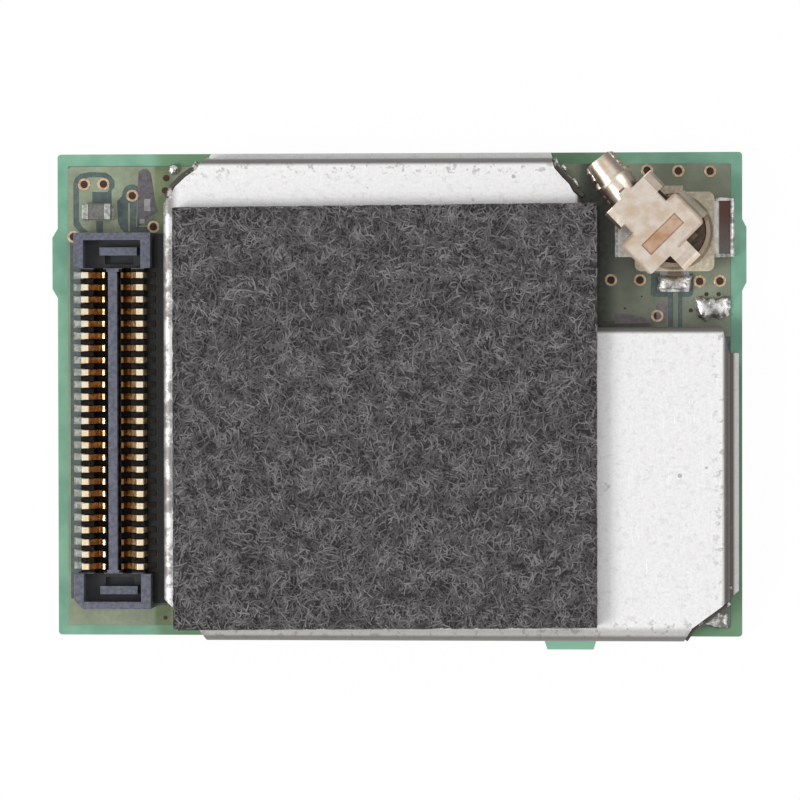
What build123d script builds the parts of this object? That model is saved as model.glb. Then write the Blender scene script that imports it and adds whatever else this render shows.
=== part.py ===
from build123d import *
import math
import os

# Wireless network module: a small circuit board with a soldered shield can, a felt pad on the can,
# a board-to-board connector, and a coaxial socket with the plug snapped on.
# Millimetres. The origin is the centre of the board's underside, +Z points up.

os.makedirs("parts", exist_ok=True)

# Circuit board
board_length = 22.6
board_width = 15.9
board_thickness = 0.6
board_corner_radius = 0.12
land_thickness = 0.03

# Break-away tab stubs left on the edges: distance from the board's corner, root, end and reach
left_stub_from_top, left_stub_root, left_stub_end, left_stub_reach = 3.60, 2.3, 1.7, 0.18
right_stub_from_top, right_stub_root, right_stub_end, right_stub_reach = 3.37, 2.35, 1.8, 0.14
bottom_stub_from_right, bottom_stub_root, bottom_stub_end, bottom_stub_reach = 5.64, 1.8, 1.52, 0.44

# Plated via holes, measured in from the board's top corners
via_hole_radius = 0.125
via_plating = 0.03
via_land_radius = 0.21
via_sides = 12
vias_from_top_left = [(0.89, 0.99), (1.53, 0.98), (2.49, 1.37), (3.19, 2.40), (0.53, 2.72)]
vias_from_top_right = [
    (3.11, 0.60), (2.09, 0.62), (1.05, 0.63),
    (4.30, 4.19), (3.35, 4.19), (1.39, 4.24), (0.73, 4.23), (2.78, 5.37),
]

# Shield can: distances of the flat lid's edges from the board's edges, bends and feet
sheet = 0.15
can_height = 1.3
can_from_left, can_from_right, can_from_bottom, can_from_top = 3.89, 0.66, 0.15, 0.45
notch_from_right, notch_from_top = 5.43, 5.97
bend_radius = 0.24
foot_right, foot_top, foot_bottom, foot_thickness = 0.31, 0.20, 0.04, 0.12
corner_relief_radius = 0.3
side_relief_length = 0.86
dimple_from_right, dimple_from_bottom, dimple_side, dimple_depth = 3.81, 4.81, 0.22, 0.04

# Lines along which the can's corners are cut away: distances in from the side wall and from the
# end wall, with the first and last points past the walls so that they cut the feet too
corner_top_left = [(1.50, -0.24), (1.11, 0.34), (0.75, 0.59), (0.41, 0.91), (0.23, 1.24), (-0.10, 1.55)]
corner_top_right = [(1.08, -0.24), (0.92, 0.34), (0.67, 0.63), (0.44, 0.86), (0.30, 1.12), (-0.10, 1.45)]
corner_bottom_right = [(1.52, -0.05), (1.22, 0.43), (0.93, 0.65), (0.31, 1.10), (-0.34, 1.63)]
corner_bottom_left = [(1.45, -0.05), (1.15, 0.40), (0.40, 1.00), (-0.05, 1.40)]
corner_cut_reach = 0.6

# Solder on the can's corners and at its foot beside the socket
corner_solder_radius = 0.26
corner_solder_height = 0.3
corner_solder_inset = 0.45
solder_sides = 12
solder_slope = 25
foot_solder_from_right, foot_solder_length, foot_solder_width, foot_solder_height = 0.30, 1.17, 0.98, 0.34

# Felt pad and its adhesive film: distances from the can's edges, with the overhang past the notch
pad_from_left, pad_past_notch, pad_from_bottom, pad_from_top = 0.14, 0.72, 0.25, 1.26
pad_slope = 0.11
pad_thickness = 0.5
pad_corner_radius = 0.12
film_thickness = 0.05
film_margin = 0.5

# Board-to-board connector, measured in from the board's left and bottom edges
connector_from_left, connector_from_bottom = 1.93, 7.10
connector_length = 12.38
connector_width = 2.54
connector_height = 1.0
contact_pitch = 0.4
contacts_per_row = 25
contact_width = 0.2
contact_thickness = 0.08
contact_clearance = 0.02
contact_top = 0.9
contact_tail_reach = 1.34
contact_riser = 0.98
contact_shoulder = 0.83
beam_foot, beam_foot_height = 0.56, 0.28
hook_bottom, hook_back, hook_back_height = 0.44, 0.33, 0.34
hook_crest, hook_crest_height = 0.27, 0.62
hook_tip, hook_tip_height = 0.31, 0.74
housing_floor = 0.12
side_wall_outer = 1.06
side_wall_inner = 0.62
side_wall_height = 0.84
core_thickness = 0.07
rib_width = 0.30
rib_height = 0.80
rib_head_width, rib_head_length = 0.62, 0.12
end_frame_length = 1.16
end_arm_width = 0.32
end_wall_thickness = 0.24
end_deck_height = 0.38
island_width, island_length, island_height, island_offset = 1.25, 0.27, 0.72, 0.18
pocket_width, pocket_length, pocket_depth = 0.94, 0.28, 0.2
housing_key_chamfer = 0.28
anchor_length, anchor_width, anchor_height = 1.6, 0.3, 0.12

# Chip capacitor past the connector's end, measured from the connector's middle and end
capacitor_shift, capacitor_gap = -0.58, 0.43
capacitor_length, capacitor_width, capacitor_height = 0.95, 0.54, 0.5
capacitor_end_length = 0.22
chip_end_wrap = 0.02

# Coaxial socket, measured in from the board's right and top edges. Heights in this block and the
# next are above the board's top face.
socket_from_right, socket_from_top = 2.21, 2.61
socket_base_side = 2.6
socket_base_height = 0.4
socket_base_corner = 0.22
socket_rib_width, socket_rib_reach, socket_rib_shift = 1.1, 0.2, 0.28
socket_shell_radius = 1.0
socket_shell_wall = 0.12
socket_shell_height = 1.25
socket_tab_height = 0.14
socket_tab_reach = 1.86
socket_tab_width = 1.9
socket_tab_shift = 0.12
detent_height, detent_width, detent_depth = 0.9, 0.12, 0.05
pin_radius = 0.22
pin_height = 1.1
pin_tail_width, pin_tail_reach = 0.44, 1.68
pin_tail_thickness = 0.1
socket_floor = 0.3
tab_solder_height = 0.2
ground_land_reach, ground_land_inner = 1.95, 1.0
signal_land_reach, signal_land_inner, signal_land_width = 1.97, 1.0, 0.95
contact_land_inner, contact_land_width, land_margin = 0.95, 0.24, 0.06

# Coaxial plug, pointing along its crimp barrel. The lines of its bends are distances out from the
# edge that they start at and heights above the middle of the lid's sheet.
plug_angle = 134.5
swivel_clearance = 0.04
plug_sheet = 0.12
plug_ring_wall = 0.13
plug_ring_bottom, plug_ring_top = 0.46, 1.5
plug_ring_flare, plug_ring_flare_height = 0.09, 0.2
plug_ring_gap = 1.3
lid_underside = 2.26
lid_near, lid_far, lid_width, lid_shift = 0.86, -0.50, 2.47, 0.34
neck_width, neck_end, neck_shift = 1.51, 1.26, 0.26
shoulder_flat_width, shoulder_end, shoulder_shift = 1.40, 1.93, 0.20
wing_line = [(-0.03, 0), (0.19, -0.06), (0.27, -0.30), (0.22, -0.75)]
skirt_bend, skirt_gap = 0.3, 0.1
lid_corner_radius = 0.14
lid_recess_length, lid_recess_width, lid_recess_depth, lid_recess_x = 1.5, 0.45, 0.05, 0.17
tongue_width, tongue_shift, tongue_overlap = 0.72, 0.30, 0.05
tongue_line_lid, tongue_line_ring = [(0.10, 0), (-0.20, -0.03)], [(0.15, -0.20), (0, -0.45)]
barrel_shift, barrel_bend = 0.31, -6.0
barrel_axis_height = 1.78
barrel_root_radius = 0.56
barrel_root_length = 0.62
barrel_start = 1.87
barrel_end_radius = 0.43
barrel_mid_radius = 0.5
barrel_length = 1.52
barrel_bore_radius = 0.3
barrel_ridge_width, barrel_ridge_radius = 0.1, 0.6
window_length, window_width, window_height = 0.3, 0.36, 0.04
insulator_clearance = 0.03
insulator_boss_outer, insulator_boss_inner = 0.78, 0.40
insulator_boss_bottom = 0.5
insulator_deck_top, insulator_deck_width = 1.7, 1.2
insulator_flap_bottom, insulator_flap_top = 1.84, 2.2
insulator_flap_back, insulator_flap_width = 0.66, 0.9
insulator_web_back = 0.92
insulator_reach = 1.66
plug_contact_wall = 0.1
plug_contact_clearance = 0.03
plug_strip_width, plug_strip_reach = 0.36, 1.82

# Parts on the board inside the can
radio_side, radio_height = 8.0, 0.85
radio_leads_per_side, radio_lead_pitch = 17, 0.4
memory_length, memory_width, memory_height = 3.0, 2.0, 0.55
memory_leads_per_side, memory_lead_pitch = 4, 0.5
crystal_length, crystal_width = 3.2, 2.5
crystal_base_height, crystal_lid_height, crystal_lid_margin, crystal_lid_corner = 0.5, 0.15, 0.2, 0.2
crystal_land_length, crystal_land_width, crystal_land_inset = 0.9, 0.7, 0.05
front_end_side, front_end_height = 3.0, 0.75
front_end_leads_per_side, front_end_lead_pitch = 5, 0.5
filter_length, filter_width, filter_height, filter_end_length = 2.0, 1.25, 0.8, 0.35
inductor_length, inductor_width, inductor_height, inductor_end_length = 2.5, 2.0, 1.0, 0.4
regulator_side, regulator_height = 2.0, 0.75
regulator_leads_per_side, regulator_lead_pitch = 4, 0.5
lead_length, lead_width, lead_height = 0.4, 0.22, 0.06
small_chip_length, small_chip_width = 1.0, 0.5
small_capacitor_height, small_resistor_height = 0.5, 0.35
small_end_length = 0.24
capacitors_in_row, resistors_in_row = 7, 3


def shared_places(start, end, sizes):
    """Middles of pieces of these sizes set in line between two edges, with equal gaps."""
    gap = (end - start - sum(sizes)) / (len(sizes) + 1)
    return [start + gap * (i + 1) + sum(sizes[:i]) + size / 2 for i, size in enumerate(sizes)]


# Places worked out from the sizes above
half_length, half_width = board_length / 2, board_width / 2
via_places = [(x - half_length, half_width - y) for x, y in vias_from_top_left]
via_places += [(half_length - x, half_width - y) for x, y in vias_from_top_right]
can_left, can_right = can_from_left - half_length, half_length - can_from_right
can_bottom, can_top = can_from_bottom - half_width, half_width - can_from_top
notch_left, notch_top = half_length - notch_from_right, half_width - notch_from_top
dimple_x, dimple_y = can_right - dimple_from_right, can_bottom + dimple_from_bottom
foot_solder_x = can_right - foot_solder_from_right
pad_left, pad_right = can_left + pad_from_left, notch_left + pad_past_notch
pad_bottom, pad_top = can_bottom + pad_from_bottom, can_top - pad_from_top
connector_x, connector_y = connector_from_left - half_length, connector_from_bottom - half_width
capacitor_x = connector_x + capacitor_shift
capacitor_y = connector_y + connector_length / 2 + capacitor_gap + capacitor_width / 2
socket_x, socket_y = half_length - socket_from_right, half_width - socket_from_top

# Inside the can the parts share the room: four rows in its wide side, three parts in its arm
power_row_y, capacitor_row_y, radio_y, resistor_row_y = shared_places(
    can_bottom, can_top, [crystal_width, small_chip_width, radio_side, small_chip_width]
)
crystal_x, regulator_x, inductor_x = shared_places(
    can_left, notch_left, [crystal_length, regulator_side, inductor_length]
)
radio_x = (can_left + notch_left) / 2
arm_x = (notch_left + can_right) / 2
filter_y, front_end_y, memory_y = shared_places(
    can_bottom, notch_top, [filter_width, front_end_side, memory_width]
)
capacitor_row = shared_places(can_left, notch_left, [small_chip_length] * capacitors_in_row)
resistor_row = shared_places(can_left, notch_left, [small_chip_length] * resistors_in_row)
small_capacitor_places = [(x, capacitor_row_y) for x in capacitor_row]
small_resistor_places = [(x, resistor_row_y) for x in resistor_row]

# Heights worked out from the sizes above
board_top = board_thickness
land_top = board_top + land_thickness
can_top_face = board_top + can_height
film_top = can_top_face + film_thickness
plug_bore_radius = socket_shell_radius + swivel_clearance


def break_stub(root, end, reach):
    """Outline of one snapped-off tab stub, standing on the edge it grew from."""
    return [(-root / 2, 0), (root / 2, 0), (end / 2, reach), (-end / 2, reach)]


def bent_strip(points, thickness):
    """Closed outline of a strip of even thickness bent along the points, with mitred bends."""
    left, right = [], []
    for i, (x, z) in enumerate(points):
        before = points[max(i - 1, 0)]
        after = points[min(i + 1, len(points) - 1)]
        turn_in = math.atan2(z - before[1], x - before[0])
        turn_out = math.atan2(after[1] - z, after[0] - x)
        if i == 0:
            turn_in = turn_out
        if i == len(points) - 1:
            turn_out = turn_in
        middle = math.atan2(math.sin(turn_in) + math.sin(turn_out), math.cos(turn_in) + math.cos(turn_out))
        reach = thickness / 2 / math.cos(middle - turn_in)
        left.append((x - reach * math.sin(middle), z + reach * math.cos(middle)))
        right.append((x + reach * math.sin(middle), z - reach * math.cos(middle)))
    return left + right[::-1]


def plug_level(height):
    """Plane across the plug at a height above the board's top, x along the crimp barrel."""
    turn = math.radians(plug_angle)
    return Plane(
        origin=(socket_x, socket_y, board_top + height),
        x_dir=(math.cos(turn), math.sin(turn), 0),
        z_dir=(0, 0, 1),
    )


def plug_side(shift):
    """Upright plane along the plug, shift to its left: x along the barrel, y up."""
    level = plug_level(0)
    return Plane(origin=level.from_local_coords((0, shift, 0)), x_dir=level.x_dir, z_dir=-level.y_dir)


def plug_section(along):
    """Upright plane across the plug at a distance along it: x to its left, y up."""
    level = plug_level(0)
    return Plane(origin=level.from_local_coords((along, 0, 0)), x_dir=level.y_dir, z_dir=level.x_dir)


barrel_turn = math.radians(plug_angle + barrel_bend)
barrel_plane = Plane(
    origin=plug_section(barrel_start).from_local_coords((barrel_shift, barrel_axis_height, 0)),
    x_dir=(-math.sin(barrel_turn), math.cos(barrel_turn), 0),
    z_dir=(math.cos(barrel_turn), math.sin(barrel_turn), 0),
)

# The board, with the stubs where it was snapped from its panel, drilled for the vias
with BuildPart() as circuit_board:
    with BuildSketch():
        RectangleRounded(board_length, board_width, board_corner_radius)
        with Locations(Location((-half_length, half_width - left_stub_from_top, 0), (0, 0, 90))):
            Polygon(*break_stub(left_stub_root, left_stub_end, left_stub_reach))
        with Locations(Location((half_length, half_width - right_stub_from_top, 0), (0, 0, -90))):
            Polygon(*break_stub(right_stub_root, right_stub_end, right_stub_reach))
        with Locations(Location((half_length - bottom_stub_from_right, -half_width, 0), (0, 0, 180))):
            Polygon(*break_stub(bottom_stub_root, bottom_stub_end, bottom_stub_reach))
        with Locations(*via_places):
            RegularPolygon(via_hole_radius + via_plating, via_sides, mode=Mode.SUBTRACT)
    extrude(amount=board_thickness)

# Plated barrels of the vias, each with a bare ring on the top face
with BuildPart() as via_rings:
    with BuildSketch():
        with Locations(*via_places):
            RegularPolygon(via_hole_radius + via_plating, via_sides)
            RegularPolygon(via_hole_radius, via_sides, mode=Mode.SUBTRACT)
    extrude(amount=board_thickness)
    with BuildSketch(Plane.XY.offset(board_top)):
        with Locations(*via_places):
            RegularPolygon(via_land_radius, via_sides)
            RegularPolygon(via_hole_radius, via_sides, mode=Mode.SUBTRACT)
    extrude(amount=land_thickness)

# Shield can, pressed from one sheet: the corners are cut away, so the walls end short of them
wall_left, wall_right = can_left - bend_radius, can_right + bend_radius
wall_bottom, wall_top = can_bottom - bend_radius, can_top + bend_radius
notch_wall_x, notch_wall_y = notch_left + bend_radius, notch_top + bend_radius
corner_cuts = (
    ((wall_left, wall_top), 1, -1, corner_top_left),
    ((notch_wall_x, wall_top), -1, -1, corner_top_right),
    ((wall_right, wall_bottom), -1, 1, corner_bottom_right),
    ((wall_left, wall_bottom), 1, 1, corner_bottom_left),
)


def can_outline(inset):
    """Corners of the can's L-shaped plan, moved inwards by the inset."""
    left, right = wall_left + inset, wall_right - inset
    bottom, top = wall_bottom + inset, wall_top - inset
    step_x, step_y = notch_wall_x - inset, notch_wall_y - inset
    return [(left, bottom), (right, bottom), (right, step_y), (step_x, step_y), (step_x, top), (left, top)]


with BuildPart() as can_hollow:
    with BuildSketch(Plane.XY.offset(board_top)):
        Polygon(*can_outline(sheet))
    extrude(amount=can_height - sheet)
    fillet(can_hollow.faces().sort_by(Axis.Z)[-1].edges(), radius=bend_radius - sheet)

with BuildPart() as shield_can:
    with BuildSketch(Plane.XY.offset(board_top)):
        Polygon(*can_outline(0))
    extrude(amount=can_height)
    fillet(shield_can.faces().sort_by(Axis.Z)[-1].edges(), radius=bend_radius)
    add(can_hollow.part, mode=Mode.SUBTRACT)
    with BuildSketch(Plane.XY.offset(board_top)):
        with Locations((wall_right, wall_bottom)):
            Rectangle(
                foot_right, notch_wall_y - side_relief_length - wall_bottom, align=(Align.MIN, Align.MIN)
            )
        with Locations((wall_left, wall_top)):
            Rectangle(notch_wall_x - wall_left, foot_top, align=(Align.MIN, Align.MIN))
        with Locations((wall_left, wall_bottom)):
            Rectangle(wall_right - wall_left, foot_bottom, align=(Align.MIN, Align.MAX))
    extrude(amount=foot_thickness)
    with BuildSketch(Plane.XY.offset(board_top)):
        for corner, side, end, cut_line in corner_cuts:
            reach = -corner_cut_reach
            outside = [(reach, cut_line[-1][1]), (reach, reach), (cut_line[0][0], reach)]
            with Locations(corner):
                Polygon(*[(side * x, end * y) for x, y in cut_line + outside])
        with Locations((wall_right, notch_wall_y)):
            Polygon((0, 0), (-bend_radius, 0), (0, -side_relief_length))
        with Locations((notch_wall_x, notch_wall_y)):
            Circle(corner_relief_radius)
    extrude(amount=can_height, mode=Mode.SUBTRACT)
    with BuildSketch(Plane.XY.offset(can_top_face)):
        with Locations((dimple_x, dimple_y)):
            Rectangle(dimple_side, dimple_side, rotation=45)
    extrude(amount=-dimple_depth, mode=Mode.SUBTRACT)

# Solder fillets that close the can's open corners, and the long joint at its foot by the socket
corner_solder_places = [
    (x + side * corner_solder_inset, y + end * corner_solder_inset)
    for (x, y), side, end, cut_line in corner_cuts
]
with BuildPart() as shield_solder:
    with BuildSketch(Plane.XY.offset(board_top)):
        with Locations(*corner_solder_places):
            RegularPolygon(corner_solder_radius, solder_sides)
    extrude(amount=corner_solder_height, taper=solder_slope)
    foot_solder_y = notch_wall_y + foot_solder_width / 2
    with BuildSketch(Plane.XY.offset(board_top)):
        with Locations((foot_solder_x, foot_solder_y)):
            Rectangle(foot_solder_length, foot_solder_width)
    extrude(amount=foot_solder_height, taper=solder_slope)

# Die-cut felt pad on the lid, cut a little out of square, with its adhesive film
with BuildPart() as felt_pad:
    with BuildSketch(Plane.XY.offset(film_top)) as pad_outline:
        Polygon(
            (pad_left, pad_bottom - pad_slope),
            (pad_right, pad_bottom),
            (pad_right, pad_top),
            (pad_left, pad_top - pad_slope),
        )
        fillet(pad_outline.vertices(), radius=pad_corner_radius)
    extrude(amount=pad_thickness)

with BuildPart() as pad_adhesive:
    film_right = min(pad_right, notch_left) - film_margin
    film_left = pad_left + film_margin
    film_bottom, film_top_edge = pad_bottom + film_margin, pad_top - film_margin
    with BuildSketch(Plane.XY.offset(can_top_face)):
        with Locations(((film_left + film_right) / 2, (film_bottom + film_top_edge) / 2)):
            Rectangle(film_right - film_left, film_top_edge - film_bottom)
    extrude(amount=film_thickness)

# Connector housing: a floor, two comb walls that hold the contacts, a centre rib and two end frames
connector_bottom = land_top
half_strip = contact_thickness / 2
slot_width = contact_width + 2 * contact_clearance
row_length = (contacts_per_row - 1) * contact_pitch
comb_length = connector_length - 2 * end_frame_length
core_outer = contact_riser - half_strip - contact_clearance / 2
core_inner = core_outer - core_thickness


def connector_level(height):
    """Plane across the connector at a height above its underside."""
    return Plane(origin=(connector_x, connector_y, connector_bottom + height))


# Contact slots: distances from the centre and heights of the riser's groove, the beam's groove and
# the gap over the thin wall between them
slot_cuts = (
    (core_outer, side_wall_outer + contact_clearance, 0, side_wall_height),
    (side_wall_inner - contact_clearance, core_inner, housing_floor, side_wall_height),
    (core_inner, core_outer, contact_top - contact_thickness - half_strip, side_wall_height),
)

with BuildPart() as connector_housing:
    with BuildSketch(connector_level(0)):
        Rectangle(2 * side_wall_outer, comb_length)
    extrude(amount=housing_floor)
    with BuildSketch(connector_level(housing_floor)):
        with GridLocations(side_wall_inner + side_wall_outer, 1, 2, 1):
            Rectangle(side_wall_outer - side_wall_inner, comb_length)
    extrude(amount=side_wall_height - housing_floor)
    with BuildSketch(connector_level(housing_floor)):
        Rectangle(rib_width, comb_length)
        with GridLocations(1, comb_length - rib_head_length, 1, 2):
            Rectangle(rib_head_width, rib_head_length)
    extrude(amount=rib_height - housing_floor)
    for inner, outer, bottom, top in slot_cuts:
        with BuildSketch(connector_level(bottom)):
            with GridLocations(inner + outer, contact_pitch, 2, contacts_per_row):
                Rectangle(outer - inner, slot_width)
        extrude(amount=top - bottom, mode=Mode.SUBTRACT)
    frame_middle = (connector_length - end_frame_length) / 2
    with BuildSketch(connector_level(0)):
        with Locations((0, frame_middle), (0, -frame_middle)):
            Rectangle(connector_width, end_frame_length)
    extrude(amount=end_deck_height)
    with BuildSketch(connector_level(end_deck_height)):
        arm_middle = (connector_width - end_arm_width) / 2
        with Locations(*[(x, y) for x in (-arm_middle, arm_middle) for y in (-frame_middle, frame_middle)]):
            Rectangle(end_arm_width, end_frame_length)
        with GridLocations(1, connector_length - end_wall_thickness, 1, 2):
            Rectangle(connector_width, end_wall_thickness)
    extrude(amount=connector_height - end_deck_height)
    island_middle = frame_middle - end_frame_length / 2 + pocket_length + island_length
    with BuildSketch(connector_level(end_deck_height)):
        with Locations((island_offset, island_middle), (island_offset, -island_middle)):
            Rectangle(island_width, island_length)
    extrude(amount=island_height - end_deck_height)
    pocket_middle = island_middle - (island_length + pocket_length) / 2
    with BuildSketch(connector_level(end_deck_height)):
        with Locations((island_offset, pocket_middle), (island_offset, -pocket_middle)):
            Rectangle(pocket_width, pocket_length)
    extrude(amount=-pocket_depth, mode=Mode.SUBTRACT)
    key_edge = connector_housing.edges().filter_by(Axis.Z).sort_by(Axis.X)[:4].sort_by(Axis.Y)[0]
    chamfer(key_edge, length=housing_key_chamfer)
    anchor_middle = (connector_length - end_frame_length) / 2
    with BuildSketch(connector_level(0)):
        with Locations((0, anchor_middle), (0, -anchor_middle)):
            Rectangle(anchor_length, anchor_width)
    extrude(amount=anchor_height, mode=Mode.SUBTRACT)

# Metal anchors in the housing's ends, soldered to the board
with BuildPart() as connector_anchors:
    with BuildSketch(connector_level(0)):
        with Locations((0, anchor_middle), (0, -anchor_middle)):
            Rectangle(anchor_length, anchor_width)
    extrude(amount=anchor_height)

# One contact: solder tail, riser, flat shoulder on the wall, sloping beam and the sprung hook
contact_path = [
    (contact_tail_reach, half_strip),
    (contact_riser, half_strip),
    (contact_riser, contact_top - half_strip),
    (contact_shoulder, contact_top - half_strip),
    (beam_foot, beam_foot_height),
    (hook_bottom, housing_floor + contact_clearance + half_strip),
    (hook_back, hook_back_height),
    (hook_crest, hook_crest_height),
    (hook_tip, hook_tip_height),
]


def contact_row(side):
    """The row of contacts on one side of the rib: side is 1 for the right and -1 for the left."""
    with BuildPart() as row:
        for i in range(contacts_per_row):
            y = connector_y - row_length / 2 + i * contact_pitch + contact_width / 2
            section = Plane(origin=(connector_x, y, connector_bottom), x_dir=(1, 0, 0), z_dir=(0, -1, 0))
            with BuildSketch(section):
                Polygon(*bent_strip([(side * x, z) for x, z in contact_path], contact_thickness))
            extrude(amount=contact_width)
    return row


contacts_left = contact_row(-1)
contacts_right = contact_row(1)


# Two-ended chips, such as capacitors and resistors
def chip_bodies(places, length, width, height, end_length):
    """Bodies between the metal ends of like chips, standing on the lands."""
    with BuildPart() as bodies:
        with BuildSketch(Plane.XY.offset(land_top + chip_end_wrap)):
            with Locations(*places):
                Rectangle(length - 2 * end_length, width - 2 * chip_end_wrap)
        extrude(amount=height - 2 * chip_end_wrap)
    return bodies


def chip_ends(places, length, width, height, end_length):
    """Metal ends of like chips, standing on the lands."""
    with BuildPart() as ends:
        with BuildSketch(Plane.XY.offset(land_top)):
            for x, y in places:
                with Locations((x, y)):
                    with GridLocations(length - end_length, width, 2, 1):
                        Rectangle(end_length, width)
        extrude(amount=height)
    return ends


capacitor_sizes = (capacitor_length, capacitor_width, capacitor_height, capacitor_end_length)
chip_capacitor = chip_bodies([(capacitor_x, capacitor_y)], *capacitor_sizes)
capacitor_ends = chip_ends([(capacitor_x, capacitor_y)], *capacitor_sizes)

# Coaxial socket base: a moulded square with a rib at its back, a round groove for the shell and
# channels underneath for the ground tabs and the signal tail
tab_inner = socket_shell_radius - socket_shell_wall
with BuildPart() as socket_base:
    with BuildSketch(Plane.XY.offset(land_top)):
        with Locations((socket_x, socket_y)):
            RectangleRounded(socket_base_side, socket_base_side, socket_base_corner)
            with Locations((-socket_rib_shift, socket_base_side / 2)):
                Rectangle(socket_rib_width, socket_rib_reach, align=(Align.CENTER, Align.MIN))
    extrude(amount=socket_base_height)
    with BuildSketch(Plane.XY.offset(land_top + socket_tab_height)):
        with Locations((socket_x, socket_y)):
            Circle(socket_shell_radius)
            Circle(tab_inner, mode=Mode.SUBTRACT)
    extrude(amount=socket_base_height, mode=Mode.SUBTRACT)
    with BuildSketch(Plane.XY.offset(land_top + socket_floor)):
        with Locations((socket_x, socket_y)):
            Circle(tab_inner)
    extrude(amount=socket_base_height, mode=Mode.SUBTRACT)
    with BuildSketch(Plane.XY.offset(land_top)):
        for sign in (-1, 1):
            tab_middle = (tab_inner + socket_base_side / 2) / 2
            with Locations((socket_x + sign * tab_middle, socket_y + socket_tab_shift)):
                Rectangle(socket_base_side / 2 - tab_inner, socket_tab_width)
    extrude(amount=socket_tab_height, mode=Mode.SUBTRACT)
    with BuildSketch(Plane.XY.offset(land_top)):
        with Locations((socket_x, socket_y)):
            Rectangle(pin_tail_width, socket_base_side, align=(Align.CENTER, Align.MAX))
            Circle(pin_radius)
    extrude(amount=pin_tail_thickness, mode=Mode.SUBTRACT)
    with BuildSketch(Plane.XY.offset(land_top)):
        with Locations((socket_x, socket_y)):
            Circle(pin_radius)
    extrude(amount=socket_base_height, mode=Mode.SUBTRACT)

# Upright plane through the socket's axis, for the turned rings
ring_plane = Plane(origin=(socket_x, socket_y, board_top), x_dir=(1, 0, 0), z_dir=(0, -1, 0))

# Socket shell: a thin turned ring with a snap groove, on two ground tabs
with BuildPart() as socket_shell:
    with BuildSketch(ring_plane):
        with Locations(((tab_inner + socket_shell_radius) / 2, land_thickness + socket_tab_height)):
            Rectangle(
                socket_shell_wall,
                socket_shell_height - land_thickness - socket_tab_height,
                align=(Align.CENTER, Align.MIN),
            )
        Polygon(
            (socket_shell_radius, detent_height - detent_width / 2),
            (socket_shell_radius, detent_height + detent_width / 2),
            (socket_shell_radius - detent_depth, detent_height),
            mode=Mode.SUBTRACT,
        )
    revolve(axis=Axis((socket_x, socket_y, 0), (0, 0, 1)))
    with BuildSketch(Plane.XY.offset(land_top)):
        for sign in (-1, 1):
            tab_middle = (tab_inner + socket_tab_reach) / 2
            with Locations((socket_x + sign * tab_middle, socket_y + socket_tab_shift)):
                Rectangle(socket_tab_reach - tab_inner, socket_tab_width)
        with Locations((socket_x, socket_y)):
            Circle(tab_inner, mode=Mode.SUBTRACT)
    extrude(amount=socket_tab_height)

# Centre pin with its flat signal tail
with BuildPart() as socket_pin:
    with BuildSketch(Plane.XY.offset(land_top)):
        with Locations((socket_x, socket_y)):
            Circle(pin_radius)
    extrude(amount=pin_height - land_thickness)
    chamfer(socket_pin.edges().sort_by(Axis.Z)[-1], length=pin_radius / 3)
    with BuildSketch(Plane.XY.offset(land_top)):
        with Locations((socket_x, socket_y)):
            Rectangle(pin_tail_width, pin_tail_reach, align=(Align.CENTER, Align.MAX))
    extrude(amount=pin_tail_thickness)

# Solder at the outer ends of the ground tabs and of the signal tail
with BuildPart() as socket_solder:
    with BuildSketch(Plane.XY.offset(land_top)):
        for sign in (-1, 1):
            solder_middle = (socket_tab_reach + ground_land_reach) / 2
            with Locations((socket_x + sign * solder_middle, socket_y + socket_tab_shift)):
                Rectangle(ground_land_reach - socket_tab_reach, socket_tab_width)
    extrude(amount=tab_solder_height)
    with BuildSketch(Plane.XY.offset(land_top)):
        with Locations((socket_x, socket_y - (pin_tail_reach + signal_land_reach) / 2)):
            Rectangle(signal_land_width, signal_land_reach - pin_tail_reach)
    extrude(amount=tab_solder_height)

# Bare lands on the board under everything that is soldered outside the can
with BuildPart() as solder_lands:
    with BuildSketch(Plane.XY.offset(board_top)):
        with Locations((connector_x, connector_y)):
            contact_land_length = contact_tail_reach + land_margin - contact_land_inner
            land_spacing = 2 * contact_land_inner + contact_land_length
            with GridLocations(land_spacing, contact_pitch, 2, contacts_per_row):
                Rectangle(contact_land_length, contact_land_width)
            with Locations((0, anchor_middle), (0, -anchor_middle)):
                Rectangle(connector_width, anchor_width)
        with Locations((capacitor_x, capacitor_y)):
            with GridLocations(capacitor_length - capacitor_end_length, 1, 2, 1):
                Rectangle(capacitor_end_length + 2 * land_margin, capacitor_width)
        for sign in (-1, 1):
            ground_land_middle = (ground_land_inner + ground_land_reach) / 2
            with Locations((socket_x + sign * ground_land_middle, socket_y + socket_tab_shift)):
                Rectangle(ground_land_reach - ground_land_inner, socket_tab_width)
        with Locations((socket_x, socket_y - signal_land_inner)):
            Rectangle(
                signal_land_width, signal_land_reach - signal_land_inner, align=(Align.CENTER, Align.MAX)
            )
    extrude(amount=land_thickness)

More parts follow.
